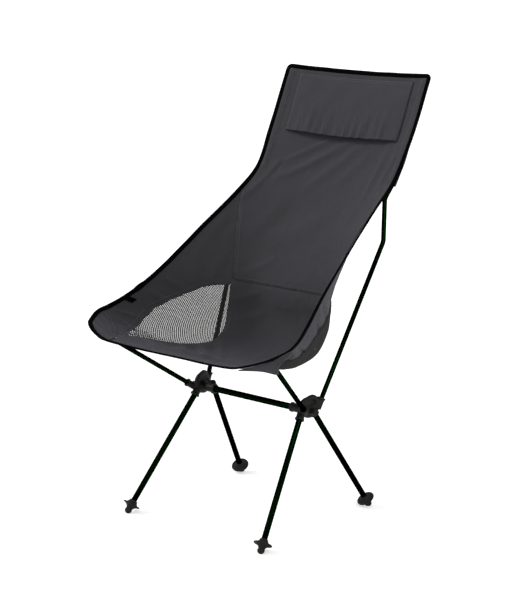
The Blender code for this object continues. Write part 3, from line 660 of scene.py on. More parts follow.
def spun(profile, steps):
    """Closed (radius, height) outline spun about +Z."""
    work = bmesh.new()
    corners = [work.verts.new((radius, 0.0, height)) for radius, height in profile]
    edges = [work.edges.new(pair) for pair in zip(corners, corners[1:])]
    if profile[0][0] > 0.0:
        edges.append(work.edges.new((corners[-1], corners[0])))
    bmesh.ops.spin(work, geom=corners + edges, cent=(0, 0, 0), axis=(0, 0, 1), dvec=(0, 0, 0),
                   angle=2 * math.pi, steps=steps, use_merge=True)
    bmesh.ops.remove_doubles(work, verts=work.verts, dist=0.00001)
    bmesh.ops.recalc_face_normals(work, faces=work.faces)
    return work


# ---- finishes ----
def shader_group(name, inputs, outputs):
    group = bpy.data.node_groups.new(name, "ShaderNodeTree")
    for label, kind, value in inputs:
        socket = group.interface.new_socket(name=label, in_out="INPUT", socket_type=kind)
        socket.default_value = value
    for label, kind in outputs:
        group.interface.new_socket(name=label, in_out="OUTPUT", socket_type=kind)
    return group, group.nodes.new("NodeGroupInput"), group.nodes.new("NodeGroupOutput")


def math_node(tree, operation, first, second=None, third=None):
    node = tree.nodes.new("ShaderNodeMath")
    node.operation = operation
    for index, value in enumerate((first, second, third)):
        if value is None:
            continue
        if isinstance(value, (int, float)):
            node.inputs[index].default_value = value
        else:
            tree.links.new(value, node.inputs[index])
    return node.outputs[0]


def noise_node(tree, vector, scale, detail=3.0, roughness=0.55):
    node = tree.nodes.new("ShaderNodeTexNoise")
    node.inputs["Detail"].default_value = detail
    node.inputs["Roughness"].default_value = roughness
    if isinstance(scale, (int, float)):
        node.inputs["Scale"].default_value = scale
    else:
        tree.links.new(scale, node.inputs["Scale"])
    tree.links.new(vector, node.inputs["Vector"])
    return node.outputs["Fac"]


def weave_group():
    """Plain weave from the cut's own coordinates: height, and a light-dark tone that is partly yarn slub and
    partly painted shade, darker where the weave dips.
    """
    group, source, target = shader_group(
        "plain_weave",
        [("Cut", "NodeSocketVector", (0.0, 0.0, 0.0)), ("Yarns per metre", "NodeSocketFloat", 1400.0)],
        [("Height", "NodeSocketFloat"), ("Tone and shade", "NodeSocketFloat")])
    split = group.nodes.new("ShaderNodeSeparateXYZ")
    group.links.new(source.outputs["Cut"], split.inputs[0])
    turns = math_node(group, "MULTIPLY", source.outputs["Yarns per metre"], math.pi)
    warp = math_node(group, "SINE", math_node(group, "MULTIPLY", split.outputs["X"], turns))
    weft = math_node(group, "SINE", math_node(group, "MULTIPLY", split.outputs["Y"], turns))
    check = math_node(group, "MULTIPLY", warp, weft)
    over = math_node(group, "MULTIPLY_ADD", check, 0.5, 0.5)
    ridge = math_node(group, "ABSOLUTE", math_node(group, "ADD", warp, weft))
    height = math_node(group, "MULTIPLY_ADD", ridge, 0.35, over)
    slub = noise_node(group, source.outputs["Cut"], 900.0, 2.0)
    # painted shade: the tone follows the yarn's height, so the weave's dips are coloured darker than its
    # tops
    tone = math_node(group, "MULTIPLY_ADD", slub, 0.5, math_node(group, "MULTIPLY", over, 0.5))
    group.links.new(height, target.inputs["Height"])
    group.links.new(tone, target.inputs["Tone and shade"])
    return group


def wear_group():
    """Slow blotches and fine dust, as a mask for colour and roughness."""
    group, source, target = shader_group(
        "handling_wear",
        [("Place", "NodeSocketVector", (0.0, 0.0, 0.0)), ("Size", "NodeSocketFloat", 14.0)],
        [("Blotch", "NodeSocketFloat"), ("Grain", "NodeSocketFloat")])
    blotch = noise_node(group, source.outputs["Place"], source.outputs["Size"], 4.0, 0.6)
    fine = math_node(group, "MULTIPLY", source.outputs["Size"], 60.0)
    grain = noise_node(group, source.outputs["Place"], fine, 2.0, 0.6)
    group.links.new(blotch, target.inputs["Blotch"])
    group.links.new(grain, target.inputs["Grain"])
    return group


def base_material(name, roughness, metallic, specular=0.5):
    material = bpy.data.materials.new(name)
    material.use_nodes = True
    tree = material.node_tree
    shader = tree.nodes["Principled BSDF"]
    shader.inputs["Roughness"].default_value = roughness
    shader.inputs["Metallic"].default_value = metallic
    shader.inputs["Specular IOR Level"].default_value = specular
    return material, tree, shader


def mix_colours(tree, share, low, high):
    mix = tree.nodes.new("ShaderNodeMix")
    mix.data_type = "RGBA"
    mix.inputs["A"].default_value = (*low, 1.0)
    mix.inputs["B"].default_value = (*high, 1.0)
    tree.links.new(share, mix.inputs["Factor"])
    return mix.outputs["Result"]


def add_bump(tree, shader, height, distance, strength):
    bump = tree.nodes.new("ShaderNodeBump")
    bump.inputs["Distance"].default_value = distance
    bump.inputs["Strength"].default_value = strength
    tree.links.new(height, bump.inputs["Height"])
    tree.links.new(bump.outputs["Normal"], shader.inputs["Normal"])


def scaled_range(tree, value, low, high):
    return math_node(tree, "MULTIPLY_ADD", value, high - low, low)


def woven_finish(name, dark, light, yarns, roughness, relief, sheen=0.25, from_uv=True, shine=0.25):
    """Woven yarn, dark to light, with a slow blotchiness over its weave, whose dips carry painted shade."""
    material, tree, shader = base_material(name, roughness, 0.0, shine)
    coords = tree.nodes.new("ShaderNodeTexCoord")
    place = coords.outputs["UV" if from_uv else "Object"]
    weave = tree.nodes.new("ShaderNodeGroup")
    weave.node_tree = WEAVE
    weave.inputs["Yarns per metre"].default_value = yarns
    tree.links.new(place, weave.inputs["Cut"])
    wear = tree.nodes.new("ShaderNodeGroup")
    wear.node_tree = WEAR
    wear.inputs["Size"].default_value = 9.0
    tree.links.new(coords.outputs["Object"], wear.inputs["Place"])
    tone = math_node(tree, "MULTIPLY_ADD", weave.outputs["Tone and shade"], 0.5,
                     math_node(tree, "MULTIPLY", wear.outputs["Blotch"], 0.5))
    tree.links.new(mix_colours(tree, tone, dark, light), shader.inputs["Base Color"])
    tree.links.new(scaled_range(tree, wear.outputs["Blotch"], roughness - 0.08, roughness + 0.08),
                   shader.inputs["Roughness"])
    shader.inputs["Sheen Weight"].default_value = sheen
    shader.inputs["Sheen Roughness"].default_value = 0.5
    shader.inputs["Sheen Tint"].default_value = (0.35, 0.35, 0.40, 1.0)
    add_bump(tree, shader, weave.outputs["Height"], relief, 0.6)
    return material


def moulded_finish(name, dark, light, roughness, grain, relief):
    """Moulded plastic or rubber with a fine grain."""
    material, tree, shader = base_material(name, roughness, 0.0, 0.22)
    coords = tree.nodes.new("ShaderNodeTexCoord")
    wear = tree.nodes.new("ShaderNodeGroup")
    wear.node_tree = WEAR
    wear.inputs["Size"].default_value = grain
    tree.links.new(coords.outputs["Object"], wear.inputs["Place"])
    tree.links.new(mix_colours(tree, wear.outputs["Blotch"], dark, light), shader.inputs["Base Color"])
    tree.links.new(scaled_range(tree, wear.outputs["Blotch"], roughness - 0.1, roughness + 0.12),
                   shader.inputs["Roughness"])
    add_bump(tree, shader, wear.outputs["Grain"], relief, 0.5)
    return material


def anodised_finish(name, dark, light, roughness, edge_tint=(1.0, 1.0, 1.0)):
    """Drawn metal tube, its colour slightly uneven along it."""
    material, tree, shader = base_material(name, roughness, 1.0)
    shader.inputs["Specular Tint"].default_value = (*edge_tint, 1.0)
    coords = tree.nodes.new("ShaderNodeTexCoord")
    wear = tree.nodes.new("ShaderNodeGroup")
    wear.node_tree = WEAR
    wear.inputs["Size"].default_value = 30.0
    tree.links.new(coords.outputs["Object"], wear.inputs["Place"])
    tree.links.new(mix_colours(tree, wear.outputs["Blotch"], dark, light), shader.inputs["Base Color"])
    tree.links.new(scaled_range(tree, wear.outputs["Blotch"], roughness - 0.07, roughness + 0.10),
                   shader.inputs["Roughness"])
    add_bump(tree, shader, wear.outputs["Grain"], 0.00002, 0.3)
    return material


WEAVE = weave_group()
WEAR = wear_group()
SLING_CLOTH = woven_finish("sling_cloth", (0.027, 0.027, 0.031), (0.043, 0.043, 0.049), 1250.0, 0.78, 0.0003)
HEADREST_CLOTH = woven_finish("headrest_cloth", (0.0255, 0.0255, 0.0295), (0.0405, 0.041, 0.047),
                              1250.0, 0.76, 0.0003)
NET_YARN = woven_finish("net_yarn", (0.016, 0.016, 0.014), (0.028, 0.028, 0.025), 2600.0, 0.80, 0.0001,
                        0.05, False)
EDGE_TAPE = woven_finish("edge_tape", (0.0003, 0.0004, 0.0004), (0.0009, 0.0012, 0.0010), 900.0, 0.90,
                         0.0003, 0.0, False, 0.03)
THREAD = woven_finish("sewing_thread", (0.095, 0.090, 0.078), (0.160, 0.150, 0.130), 3000.0, 0.7, 0.0001,
                      0.1, False)
PAD_FLEECE = woven_finish("pad_fleece", (0.10, 0.10, 0.11), (0.16, 0.16, 0.17), 700.0, 0.95, 0.0006, 0.6,
                          False)
HUB_NYLON = moulded_finish("hub_nylon", (0.006, 0.006, 0.0055), (0.011, 0.011, 0.010), 0.52, 40.0, 0.0001)
FOOT_RUBBER = moulded_finish("foot_rubber", (0.007, 0.007, 0.006), (0.013, 0.0125, 0.011), 0.66, 35.0,
                             0.0002)
ANODISED = anodised_finish("anodised_green_black", (0.0004, 0.0042, 0.0005), (0.0007, 0.0072, 0.0010), 0.17,
                           (0.03, 0.20, 0.05))
BARE_ALLOY = anodised_finish("bare_alloy", (0.48, 0.49, 0.50), (0.62, 0.63, 0.64), 0.34)
CORD_BRAID = woven_finish("cord_braid", (0.020, 0.020, 0.020), (0.045, 0.045, 0.045), 1700.0, 0.85, 0.0004,
                          0.1, False)


# ---- the sling's panels ----
def add_sling():
    top_v = end_v(0.0, TAPE_TUCK)
    front_v = end_v(1.0, -TAPE_TUCK)

    def back_limits(v):
        edge = side_limit(v, TAPE_TUCK)
        if v > WING_SEAM[0][0]:
            edge = min(edge, linear_value(WING_SEAM, v))
        return -edge, edge

    def seat_limits(v):
        edge = linear_value(WING_SEAM if v <= MESH_INNER[0][0] else MESH_INNER, v)
        if v > WING_END_V:
            edge = linear_value(CORNER_SEAM, v)
        if v <= BACK_SEAM_V + 0.012:
            edge -= gap_u(edge, v, 0.001)
        return -edge, edge

    def wing_limits(v):
        if v <= MESH_OUTER[0][0]:
            inner = linear_value(WING_SEAM, v)
            inner -= gap_u(inner, v, SEAM_LAP)
        else:
            inner = linear_value(MESH_OUTER, v)
        if v > NET_POINT_V:
            inner = linear_value(MESH_INNER, v)
            inner -= gap_u(inner, v, SEAM_LAP)
        outer = side_limit(v, TAPE_TUCK)
        if v > CORNER_SEAM[0][0]:
            corner = linear_value(CORNER_SEAM, v)
            outer = min(outer, corner + gap_u(corner, v, SEAM_LAP / 2))
        return inner, max(outer, inner + NARROWEST_U)

    def corner_limits(v):
        seam = linear_value(CORNER_SEAM, v)
        return min(seam, side_limit(v, TAPE_TUCK + NARROWEST)), side_limit(v, TAPE_TUCK)

    back = sewn_panel("back_cloth", (top_v, BACK_SEAM_V), back_limits, (112, 150), back_lift, SLING_CLOTH)
    sewn_panel("seat_cloth", (end_v(BACK_SEAM_V, -SEAM_LAP), front_v), seat_limits, (112, 110), seat_lift,
               SLING_CLOTH)
    for label, side in SIDES:
        sewn_panel("side_wing_cloth_" + label, (WING_TOP_V - 0.004, WING_END_V), wing_limits, (34, 150),
                   wing_lift, SLING_CLOTH, side, "side_wing_" + label)
        sewn_panel("corner_cloth_" + label, (CORNER_TOP_V, front_v), corner_limits, (26, 36), corner_lift,
                   SLING_CLOTH, side, "corner_patch_" + label)


def outline_hull(points):
    """Convex outline round flat points, anticlockwise."""
    points = sorted((point.x, point.y) for point in points)

    def chain(ordered):
        line = []
        for point in ordered:
            while len(line) > 1 and ((line[-1][0] - line[-2][0]) * (point[1] - line[-2][1])
                                     - (line[-1][1] - line[-2][1]) * (point[0] - line[-2][0])) <= 0:
                line.pop()
            line.append(point)
        return line[:-1]

    return [Vector(point) for point in chain(points) + chain(reversed(points))]


def net_lift(u, v):
    """The net follows the seat at its inner seam and the wing at its outer one."""
    inner, outer = linear_value(MESH_INNER, v), linear_value(MESH_OUTER, v)
    share = min(max((u - inner) / max(outer - inner, 0.001), 0.0), 1.0)
    return NET_LIFT + seat_lift(u, v) * (1.0 - share) + wing_lift(u, v) * share


def add_nets():
    """Open knit: diamonds cut to the panel's outline, each edge a real strand."""
    outline = outline_hull([Vector((u * HALF_WIDTH * NET_STRETCH, v * LENGTH))
                            for u, v in MESH_OUTER_LINE + MESH_INNER_LINE])
    margin = Vector((NET_MARGIN, NET_MARGIN))
    low = Vector((min(p.x for p in outline), min(p.y for p in outline))) - margin
    high = Vector((max(p.x for p in outline), max(p.y for p in outline))) + margin
    columns = round((high.x - low.x) / NET_CELL)
    rows = round((high.y - low.y) / NET_CELL)
    work = bmesh.new()
    bmesh.ops.create_grid(work, x_segments=columns, y_segments=rows, size=0.5)
    for vert in work.verts:
        vert.co = Vector((low.x + (vert.co.x + 0.5) * (high.x - low.x),
                          low.y + (vert.co.y + 0.5) * (high.y - low.y), 0.0))
    square_edges = list(work.edges)
    bmesh.ops.poke(work, faces=work.faces)
    inner = [edge for edge in square_edges if len(edge.link_faces) == 2]
    bmesh.ops.dissolve_edges(work, edges=inner, use_verts=False)
    for start, end in zip(outline, outline[1:] + outline[:1]):
        run = (end - start).normalized()
        away = Vector((run.y, -run.x, 0.0))
        middle = Vector((*((start + end) / 2), 0.0)) + away * NET_UNDER_SEAM
        geometry = list(work.verts) + list(work.edges) + list(work.faces)
        bmesh.ops.bisect_plane(work, geom=geometry, plane_co=middle, plane_no=away, clear_outer=True)
    bmesh.ops.remove_doubles(work, verts=work.verts, dist=NET_WELD)
    right = new_piece("net_right", work, NET_YARN, 0.0)
    strands = right.modifiers.new("strands", "WIREFRAME")
    strands.thickness = NET_STRAND
    strands.use_even_offset = False
    strands.use_boundary = True
    applied(right)
    for vert in right.data.vertices:
        u, v = vert.co.x / (HALF_WIDTH * NET_STRETCH), vert.co.y / LENGTH
        vert.co = sling(u, v, net_lift(u, v) + vert.co.z * NET_FLATNESS)
    left = bpy.data.objects.new("net_left", right.data.copy())
    bpy.context.scene.collection.objects.link(left)
    left.data.transform(Matrix.Scale(-1.0, 4, Vector((1.0, 0.0, 0.0))))
    right.data.flip_normals()
    for label, net in (("right", right), ("left", left)):
        net.data.update()
        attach(net, ROOT)
        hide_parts("mesh_panel_" + label)


# ---- headrest ----
PAD_EDGE = 0.0018           # how thick the pocket stays along its sewn sides
PAD_CROWN = 0.0022
CROWN_DOWN = 0.85           # share of the way down at which the pad is fullest
COVER_RISE = 0.0012
COVER_LOWEST = 0.0014
HEM_TURN = 0.022            # share of the cover that is turned under at its lower edge
HEM_THICKNESS = 0.0022
GATHER_HEIGHT = 0.0105
GATHER_FROM = 0.45          # the gathers start this far down and rise from the open hem
GATHER_SEEDS = (4.2, 9.9)
HEM_DIMPLE = 0.0052         # the hem is caught down near its two ends
DIMPLE_AT, DIMPLE_WIDTH, DIMPLE_FROM = 0.86, 0.09, 0.35


def headrest_swell(share, v):
    """Thickness of the stuffed pocket, full along its lower part and thin at its sewn edges."""
    down = (v - HEADREST_V[0]) / (HEADREST_V[1] - HEADREST_V[0])
    across = (1 - min(1.0, abs(2 * share - 1)) ** 4) ** 0.5
    fullness = math.sin(math.pi * min(max(down, 0.0), CROWN_DOWN) * 0.62) ** 0.8
    return PAD_EDGE + (PAD_DEPTH + PAD_CROWN) * across * fullness


def headrest_lift(u, v):
    """Padded swell, with gathers that rise from the lower hem."""
    share = 0.5 + 0.5 * u / HEADREST_U
    down = (v - HEADREST_V[0]) / (HEADREST_V[1] - HEADREST_V[0])
    inside = max(0.0, 1.0 - abs(u / HEADREST_U) ** 8)
    gather = noise.noise(Vector((u * 13.0 + down * 1.1, 0.35 * down, GATHER_SEEDS[0])))
    gather += 0.5 * noise.noise(Vector((u * 27.0 - down * 1.5, 0.5 * down, GATHER_SEEDS[1])))
    height = headrest_swell(share, v) + COVER_RISE
    height += GATHER_HEIGHT * gather * inside * max(0.0, down - GATHER_FROM) ** 1.3
    height += inside * wave_height(u, v, HEADREST_WAVES)
    dimple = math.exp(-((abs(u / HEADREST_U) - DIMPLE_AT) / DIMPLE_WIDTH) ** 2)
    return max(height - HEM_DIMPLE * dimple * max(0.0, down - DIMPLE_FROM), COVER_LOWEST)


def add_headrest():
    columns, rows = 130, 60

    def place_at(share, down):
        u = (share * 2 - 1) * HEADREST_U
        reach = down * (1 + HEM_TURN * 2)
        folded = max(0.0, reach - 1.0)
        v = HEADREST_V[0] + (HEADREST_V[1] - HEADREST_V[0]) * (min(reach, 1.0) - folded * 1.2)
        lift = headrest_lift(u, v)
        if folded > 0.0:
            lift -= min(HEM_THICKNESS, folded * 0.12)
        return sling(u, v, lift), cut_place(u, v)

    work = cloth_grid(columns, rows, place_at)
    flat, area = cut_size(work, columns, rows)
    cover = new_piece("headrest_cover", work, HEADREST_CLOTH)
    add_wall(cover, CLOTH_THICKNESS)
    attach(cover, ROOT)
    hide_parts("headrest_pocket")

    work = bmesh.new()
    bmesh.ops.create_grid(work, x_segments=48, y_segments=20, size=0.5)
    for vert in work.verts:
        share, down = vert.co.x + 0.5, vert.co.y + 0.5
        u = (share * 2 - 1) * PAD_U
        v = PAD_V[0] + (PAD_V[1] - PAD_V[0]) * down
        vert.co = sling(u, v, headrest_swell(0.5 + 0.5 * u / HEADREST_U, v) / 2 + FOAM_RISE)
    pad = new_piece("headrest_foam", work, PAD_FLEECE)
    add_wall(pad, FOAM_THICKNESS)
    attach(pad, ROOT)
    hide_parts("headrest_pad")


# ---- sleeves and corner pockets ----
SLEEVE_TOP_V = 0.009
SLEEVE_INSET = 0.0088       # the sleeve is sewn this far inside the edge
SLEEVE_ROUND = 2.6          # 2 is a half circle's section, more is squarer
SLEEVE_HEM_FROM = 0.965


def add_sleeve(label, side):
    """Channel sewn behind the cloth, with a turned hem at its open lower end."""
    columns, rows = 22, 60

    def place_at(share, down):
        v = SLEEVE_TOP_V + (SLEEVE_END_V - SLEEVE_TOP_V) * down
        outer = side_limit(v, SLEEVE_INSET)
        u = SLEEVE_U + (outer - SLEEVE_U) * share
        arch = max(0.0, 1 - abs(2 * share - 1) ** SLEEVE_ROUND) ** (1 / SLEEVE_ROUND)
        taper = min(1.0, max(0.0, (v - SLEEVE_TOP_V) / 0.020))
        sag = 0.0009 * noise.noise(Vector((share * 2.0, v * 60.0, 2.2)))
        depth = 0.0016 + (linear_value(SLEEVE_DEPTHS, v) + sag) * arch * math.sqrt(taper)
        if down > SLEEVE_HEM_FROM:
            depth += CLOTH_THICKNESS * arch
        return mirrored(sling(u, v, -depth), side), cut_place(share * 0.2, v)

    work = cloth_grid(columns, rows, place_at)
    flat, area = cut_size(work, columns, rows)
    sleeve = new_piece("sleeve_cloth_" + label, work, SLING_CLOTH)
    add_wall(sleeve, CLOTH_THICKNESS)
    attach(sleeve, ROOT)
    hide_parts("pole_sleeve_" + label)


def pocket_lines():
    """The pocket's sewn rim and its free hem, as matching points, and the way down."""
    outward = (SEAT_POLE_TIP - SEAT_POLE_MOUTH).normalized()
    below = (Vector((0.0, 0.0, -1.0)) + outward * outward.z).normalized()
    beside = outward.cross(below)
    rim = [sling(POCKET_FRONT_U + (0.97 - POCKET_FRONT_U) * step / 8, end_v(1.0, -POCKET_INSET),
                 -POCKET_UNDER) for step in range(8)]
    rim += [sling(side_limit(v, POCKET_INSET), v, -POCKET_UNDER)
            for v in (end_v(1.0, -0.010), *(0.975 - 0.015 * step for step in range(5)), POCKET_SIDE_V)]
    under = [SEAT_POLE_TIP - ORIGIN + outward * ahead + below * down + beside * across
             for ahead, down, across in POCKET_HEM]
    hem = [rim[step].lerp(under[0], (step / 6) ** POCKET_HUG) for step in range(6)] + under
    hem += [under[-1].lerp(rim[8 + step], 1 - ((6 - step) / 6) ** POCKET_HUG) for step in range(1, 7)]
    return rim, hem, below


def add_corner_pocket(label, side):
    """Three-cornered pocket over the seat pole's tip, with a webbing band along its hem."""
    rim, hem, below = pocket_lines()
    stations = [step / (len(rim) - 1) for step in range(len(rim))]

    def surface(share, drop):
        edge = smooth_value(stations, rim, share)
        free = smooth_value(stations, hem, share)
        swell = POCKET_SWELL * math.sin(math.pi * min(drop, 1.0)) * math.sin(math.pi * share)
        crease = 0.0008 * noise.noise(Vector((share * 9.0, drop * 2.0, 1.1))) * math.sin(math.pi * share)
        return edge.lerp(free + below * 0.0010, drop) + below * (swell + crease)

    def pocket_place(share, drop):
        return mirrored(surface(share, drop), side), Vector((share * 0.14, drop * 0.05))

    work = cloth_grid(42, 18, pocket_place)
    flat, area = cut_size(work, 42, 18)
    pocket = new_piece("pocket_cloth_" + label, work, SLING_CLOTH)
    add_wall(pocket, CLOTH_THICKNESS)
    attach(pocket, ROOT)
    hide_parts("corner_pocket_" + label)

    def band_place(share, drop):
        at = 0.02 + share * 0.96
        run = (smooth_value(stations, hem, at) - smooth_value(stations, rim, at)).length
        point = surface(at, 1.0 - min(0.5, BAND_WIDTH / run) * (1.0 - drop))
        return mirrored(point + below * BAND_RISE, side), Vector((share * 0.14, drop * 0.01))

    work = cloth_grid(42, 4, band_place)
    band = new_piece("pocket_hem_" + label, work, HEADREST_CLOTH)
    add_wall(band, 2 * CLOTH_THICKNESS)
    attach(band, ROOT)


# ---- edge tape ----
TAPE_SECTION = ((TAPE_IN, 0.0009), (TAPE_IN - 0.0006, 0.0016), (0.0028, 0.0020), (-0.0008, 0.0021),
                (-0.0034, 0.0017), (-0.0046, 0.0007), (-0.0046, -0.0007), (-0.0034, -0.0017),
                (-0.0008, -0.0021), (0.0028, -0.0020), (TAPE_IN - 0.0006, -0.0016), (TAPE_IN, -0.0009))
CORNER_ROUNDING = 0.012
TAPE_JOIN_V = 0.715         # where the tape's two ends overlap, on the left edge
TAPE_JOIN_WIDTH = 0.012


def rim_line():
    """The cloth's edge as (u, v), with rounded corners, in order round the chair."""
    near_side = 1.0 - CORNER_ROUNDING / EDGE_POINTS[0].x
    from_top = end_v(0.0, CORNER_ROUNDING)
    to_front = end_v(1.0, -CORNER_ROUNDING)

    def turn(before, corner, after):
        points = []
        for step in range(1, 8):
            t = step / 8
            points.append(tuple(b * (1 - t) ** 2 + c * 2 * t * (1 - t) + a * t ** 2
                                for b, c, a in zip(before, corner, after)))
        return points

    across = [near_side * step / 30 for step in range(-30, 31)]
    down = [from_top + (to_front - from_top) * step / 150 for step in range(151)]
    line = [(u, 0.0) for u in across] + turn((near_side, 0.0), (1.0, 0.0), (1.0, from_top))
    line += [(1.0, v) for v in down] + turn((1.0, to_front), (1.0, 1.0), (near_side, 1.0))
    line += [(u, 1.0) for u in reversed(across)] + turn((-near_side, 1.0), (-1.0, 1.0), (-1.0, to_front))
    line += [(-1.0, v) for v in reversed(down)] + turn((-1.0, from_top), (-1.0, 0.0), (-near_side, 0.0))
    return line


def rim_frames():
    """Place, inward direction and upward direction at each point round the rim."""
    line = rim_line()
    points = [sling(u, v) for u, v in line]
    frames = []
    for index, (u, v) in enumerate(line):
        tangent = (points[(index + 1) % len(points)] - points[index - 1]).normalized()
        slope_across, slope_along = sling_slopes(max(-0.999, min(0.999, u)), v)
        up = slope_along.cross(slope_across).normalized()
        inward = tangent.cross(up).normalized()
        if inward.dot(sling(u * 0.9, 0.5 + (v - 0.5) * 0.95) - points[index]) < 0:
            inward = -inward
        frames.append((points[index], inward, up))
    return line, frames


def add_edge_tape():
    """Folded tape all round the edge, thicker where its ends overlap, and its row of stitches."""
    line, frames = rim_frames()
    around = len(TAPE_SECTION)
    work = bmesh.new()
    bmesh.ops.create_grid(work, x_segments=around, y_segments=len(frames), size=0.5)
    for vert in work.verts:
        column = round((vert.co.x + 0.5) * around) % around
        row = round((vert.co.y + 0.5) * len(frames)) % len(frames)
        point, inward, up = frames[row]
        u, v = line[row]
        reach, height = TAPE_SECTION[column]
        join = math.exp(-((v - TAPE_JOIN_V) * LENGTH / TAPE_JOIN_WIDTH) ** 4) if u < -0.99 else 0.0
        waver = noise.noise(point * 22.0)
        reach_now = reach + 0.0006 * waver + (-0.0016 * join if reach < 0.001 else 0.0012 * join)
        height_now = height * (1.0 + 0.18 * noise.noise(point * 55.0) + 0.35 * join)
        vert.co = point + inward * reach_now + up * height_now
    bmesh.ops.remove_doubles(work, verts=work.verts, dist=0.00001)
    bmesh.ops.recalc_face_normals(work, faces=work.faces)
    tape = new_piece("edge_tape", work, EDGE_TAPE, 60.0)
    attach(tape, ROOT)
    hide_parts("edge_binding")

    work = bmesh.new()
    row = [(point + inward * (TAPE_IN - 0.0018) + up * 0.0020, up) for point, inward, up in frames]
    lay_stitches(work, row + row[:1])
    stitches = new_piece("tape_stitches", work, EDGE_TAPE, 0.0)
    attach(stitches, ROOT)


TAB_V = (0.760, 0.780)
TAB_REACH = 0.0230


def add_tab():
    """Small blank folded tab sewn into the left edge."""
    def place_at(share, down):
        v = TAB_V[0] + (TAB_V[1] - TAB_V[0]) * down
        outer = side_limit(v, 0.0045)
        fold = abs(2 * share - 1)
        u = outer - gap_u(outer, v, TAB_REACH) * (1 - fold)
        lift = 0.0026 + (0.0009 if share > 0.5 else 0.0) + 0.0006 * (1 - fold) ** 2
        return mirrored(sling(u, v, lift), -1), Vector((share * 0.034, down * 0.018))

    work = cloth_grid(20, 8, place_at)
    tab = new_piece("side_tab", work, EDGE_TAPE)
    add_wall(tab, 0.0004)
    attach(tab, ROOT)
    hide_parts("label_tab")


# ---- sewing ----
def add_sewing():
    """Double rows along the seams; each row lies on the upper layer of its seam."""
    sleeve_hem = [(SLEEVE_U, SLEEVE_END_V), (0.985, SLEEVE_END_V)]
    for label, side in SIDES:
        rows = []
        for offset in (0.0012, 0.0062):
            rows.append({"line": WING_LINE, "lift": back_lift, "side": side, "offset": offset})
        rows.append({"line": SLEEVE_LINE, "lift": back_lift, "side": side})
        rows.append({"line": SLEEVE_LINE, "lift": back_lift, "side": side, "offset": -0.0055})
        rows.append({"line": sleeve_hem, "lift": back_lift, "side": side})
        for offset in (0.0020, 0.0070):
            rows.append({"line": MESH_OUTER_LINE[1:], "lift": wing_lift, "side": side, "offset": -offset})
            rows.append({"line": MESH_INNER_LINE[1:-1], "lift": seat_lift, "side": side, "offset": offset})
        rows.append({"line": CORNER_LINE, "lift": corner_lift, "side": side, "offset": -0.0018})
        stitch_piece("side_stitches_" + label, rows, THREAD)
    head = [(-HEADREST_U, HEADREST_V[1]), (-HEADREST_U, HEADREST_V[0]), (HEADREST_U, HEADREST_V[0]),
            (HEADREST_U, HEADREST_V[1])]
    rows = [{"line": BACK_LINE, "lift": back_lift, "offset": -0.0014},
            {"line": BACK_LINE, "lift": back_lift, "offset": -0.0064},
            {"line": head, "lift": headrest_lift, "offset": 0.0022},
            {"line": head, "lift": headrest_lift, "offset": 0.0068}]
    stitch_piece("cross_stitches", rows, THREAD)


# ---- frame ----
LEGS = (("front", FRONT_LEG_MOUTH, FRONT_FOOT), ("rear", REAR_LEG_MOUTH, REAR_FOOT))
TOP_V, MIDDLE_V = 0.036, 0.200      # where the back pole's upper section is held by its sleeve
# Webs between a hub's sockets: start, end and radius.
HUB_WEBS = (
    ((0.1660, 0.0300, 0.2780), (0.1560, 0.0120, 0.2700), 0.0072),
    ((0.1500, 0.0180, 0.2640), (0.1650, 0.0220, 0.2820), 0.0068),
    ((0.1560, -0.0080, 0.2620), (0.1680, -0.0150, 0.2740), 0.0072),
    ((0.1600, 0.0240, 0.2560), (0.1650, 0.0300, 0.2740), 0.0058),
)
HUB_VOXEL = 0.0008
HUB_CAP_X = 0.1793
CORD_RADIUS = 0.00125
KNOT_RADIUS = 0.0025


def place(point, side):
    return mirrored(point, side) - ORIGIN


def upper_pole_point(v):
    u = (SLEEVE_U + side_limit(v)) / 2
    return sling(u, v, -POLE_BEHIND_CLOTH)


def add_poles(label, side):
    for position, mouth, foot in LEGS:
        start, end = place(mouth, side), place(foot, side)
        outward = (end - start).normalized()
        name = "leg_{}_{}".format(position, label)
        path = [start - outward * (LEG_SOCKET_DEPTH - GAP), end - outward * (0.0030 + GAP)]
        drawn_tube(name + "_tube", path, LEG_RADIUS, name, name + "_body")
    start, end = place(SEAT_POLE_MOUTH, side), place(SEAT_POLE_TIP, side)
    outward = (end - start).normalized()
    path = [start - outward * (POLE_SOCKET_DEPTH - GAP), end - outward * SEAT_POLE_SHORT]
    drawn_tube("seat_pole_tube_" + label, path, POLE_RADIUS, "seat_pole_" + label, ROOT)
    mouth, lower, shoulder = (place(p, side) for p in (BACK_POLE_MOUTH, LOWER_BEND, SHOULDER_BEND))
    top, middle = mirrored(upper_pole_point(TOP_V), side), mirrored(upper_pole_point(MIDDLE_V), side)
    top_run = (top - middle).normalized()
    sleeve_bend = middle - top_run * SLEEVE_BEND_BELOW
    up = (lower - mouth).normalized()
    first = lower - up * JOINT_FROM_BEND
    second = sleeve_bend + top_run * JOINT_FROM_BEND
    drawn_tube("back_pole_lower_tube_" + label, [mouth - up * (POLE_SOCKET_DEPTH - GAP), first], POLE_RADIUS,
               "back_pole_lower_" + label, ROOT)
    corners = [first + up * GAP, lower, shoulder, sleeve_bend, second - top_run * GAP]
    drawn_tube("back_pole_middle_tube_" + label, rounded_path(corners, BEND_RADIUS), POLE_RADIUS,
               "back_pole_middle_" + label, ROOT)
    drawn_tube("back_pole_upper_tube_" + label, [second, top], POLE_RADIUS, "back_pole_upper_" + label, ROOT)


def add_web(work, start, end, radius):
    bmesh.ops.create_cone(work, cap_ends=True, segments=24, radius1=radius, radius2=radius,
                          depth=(end - start).length, matrix=axis_frame((start + end) / 2, end - start))


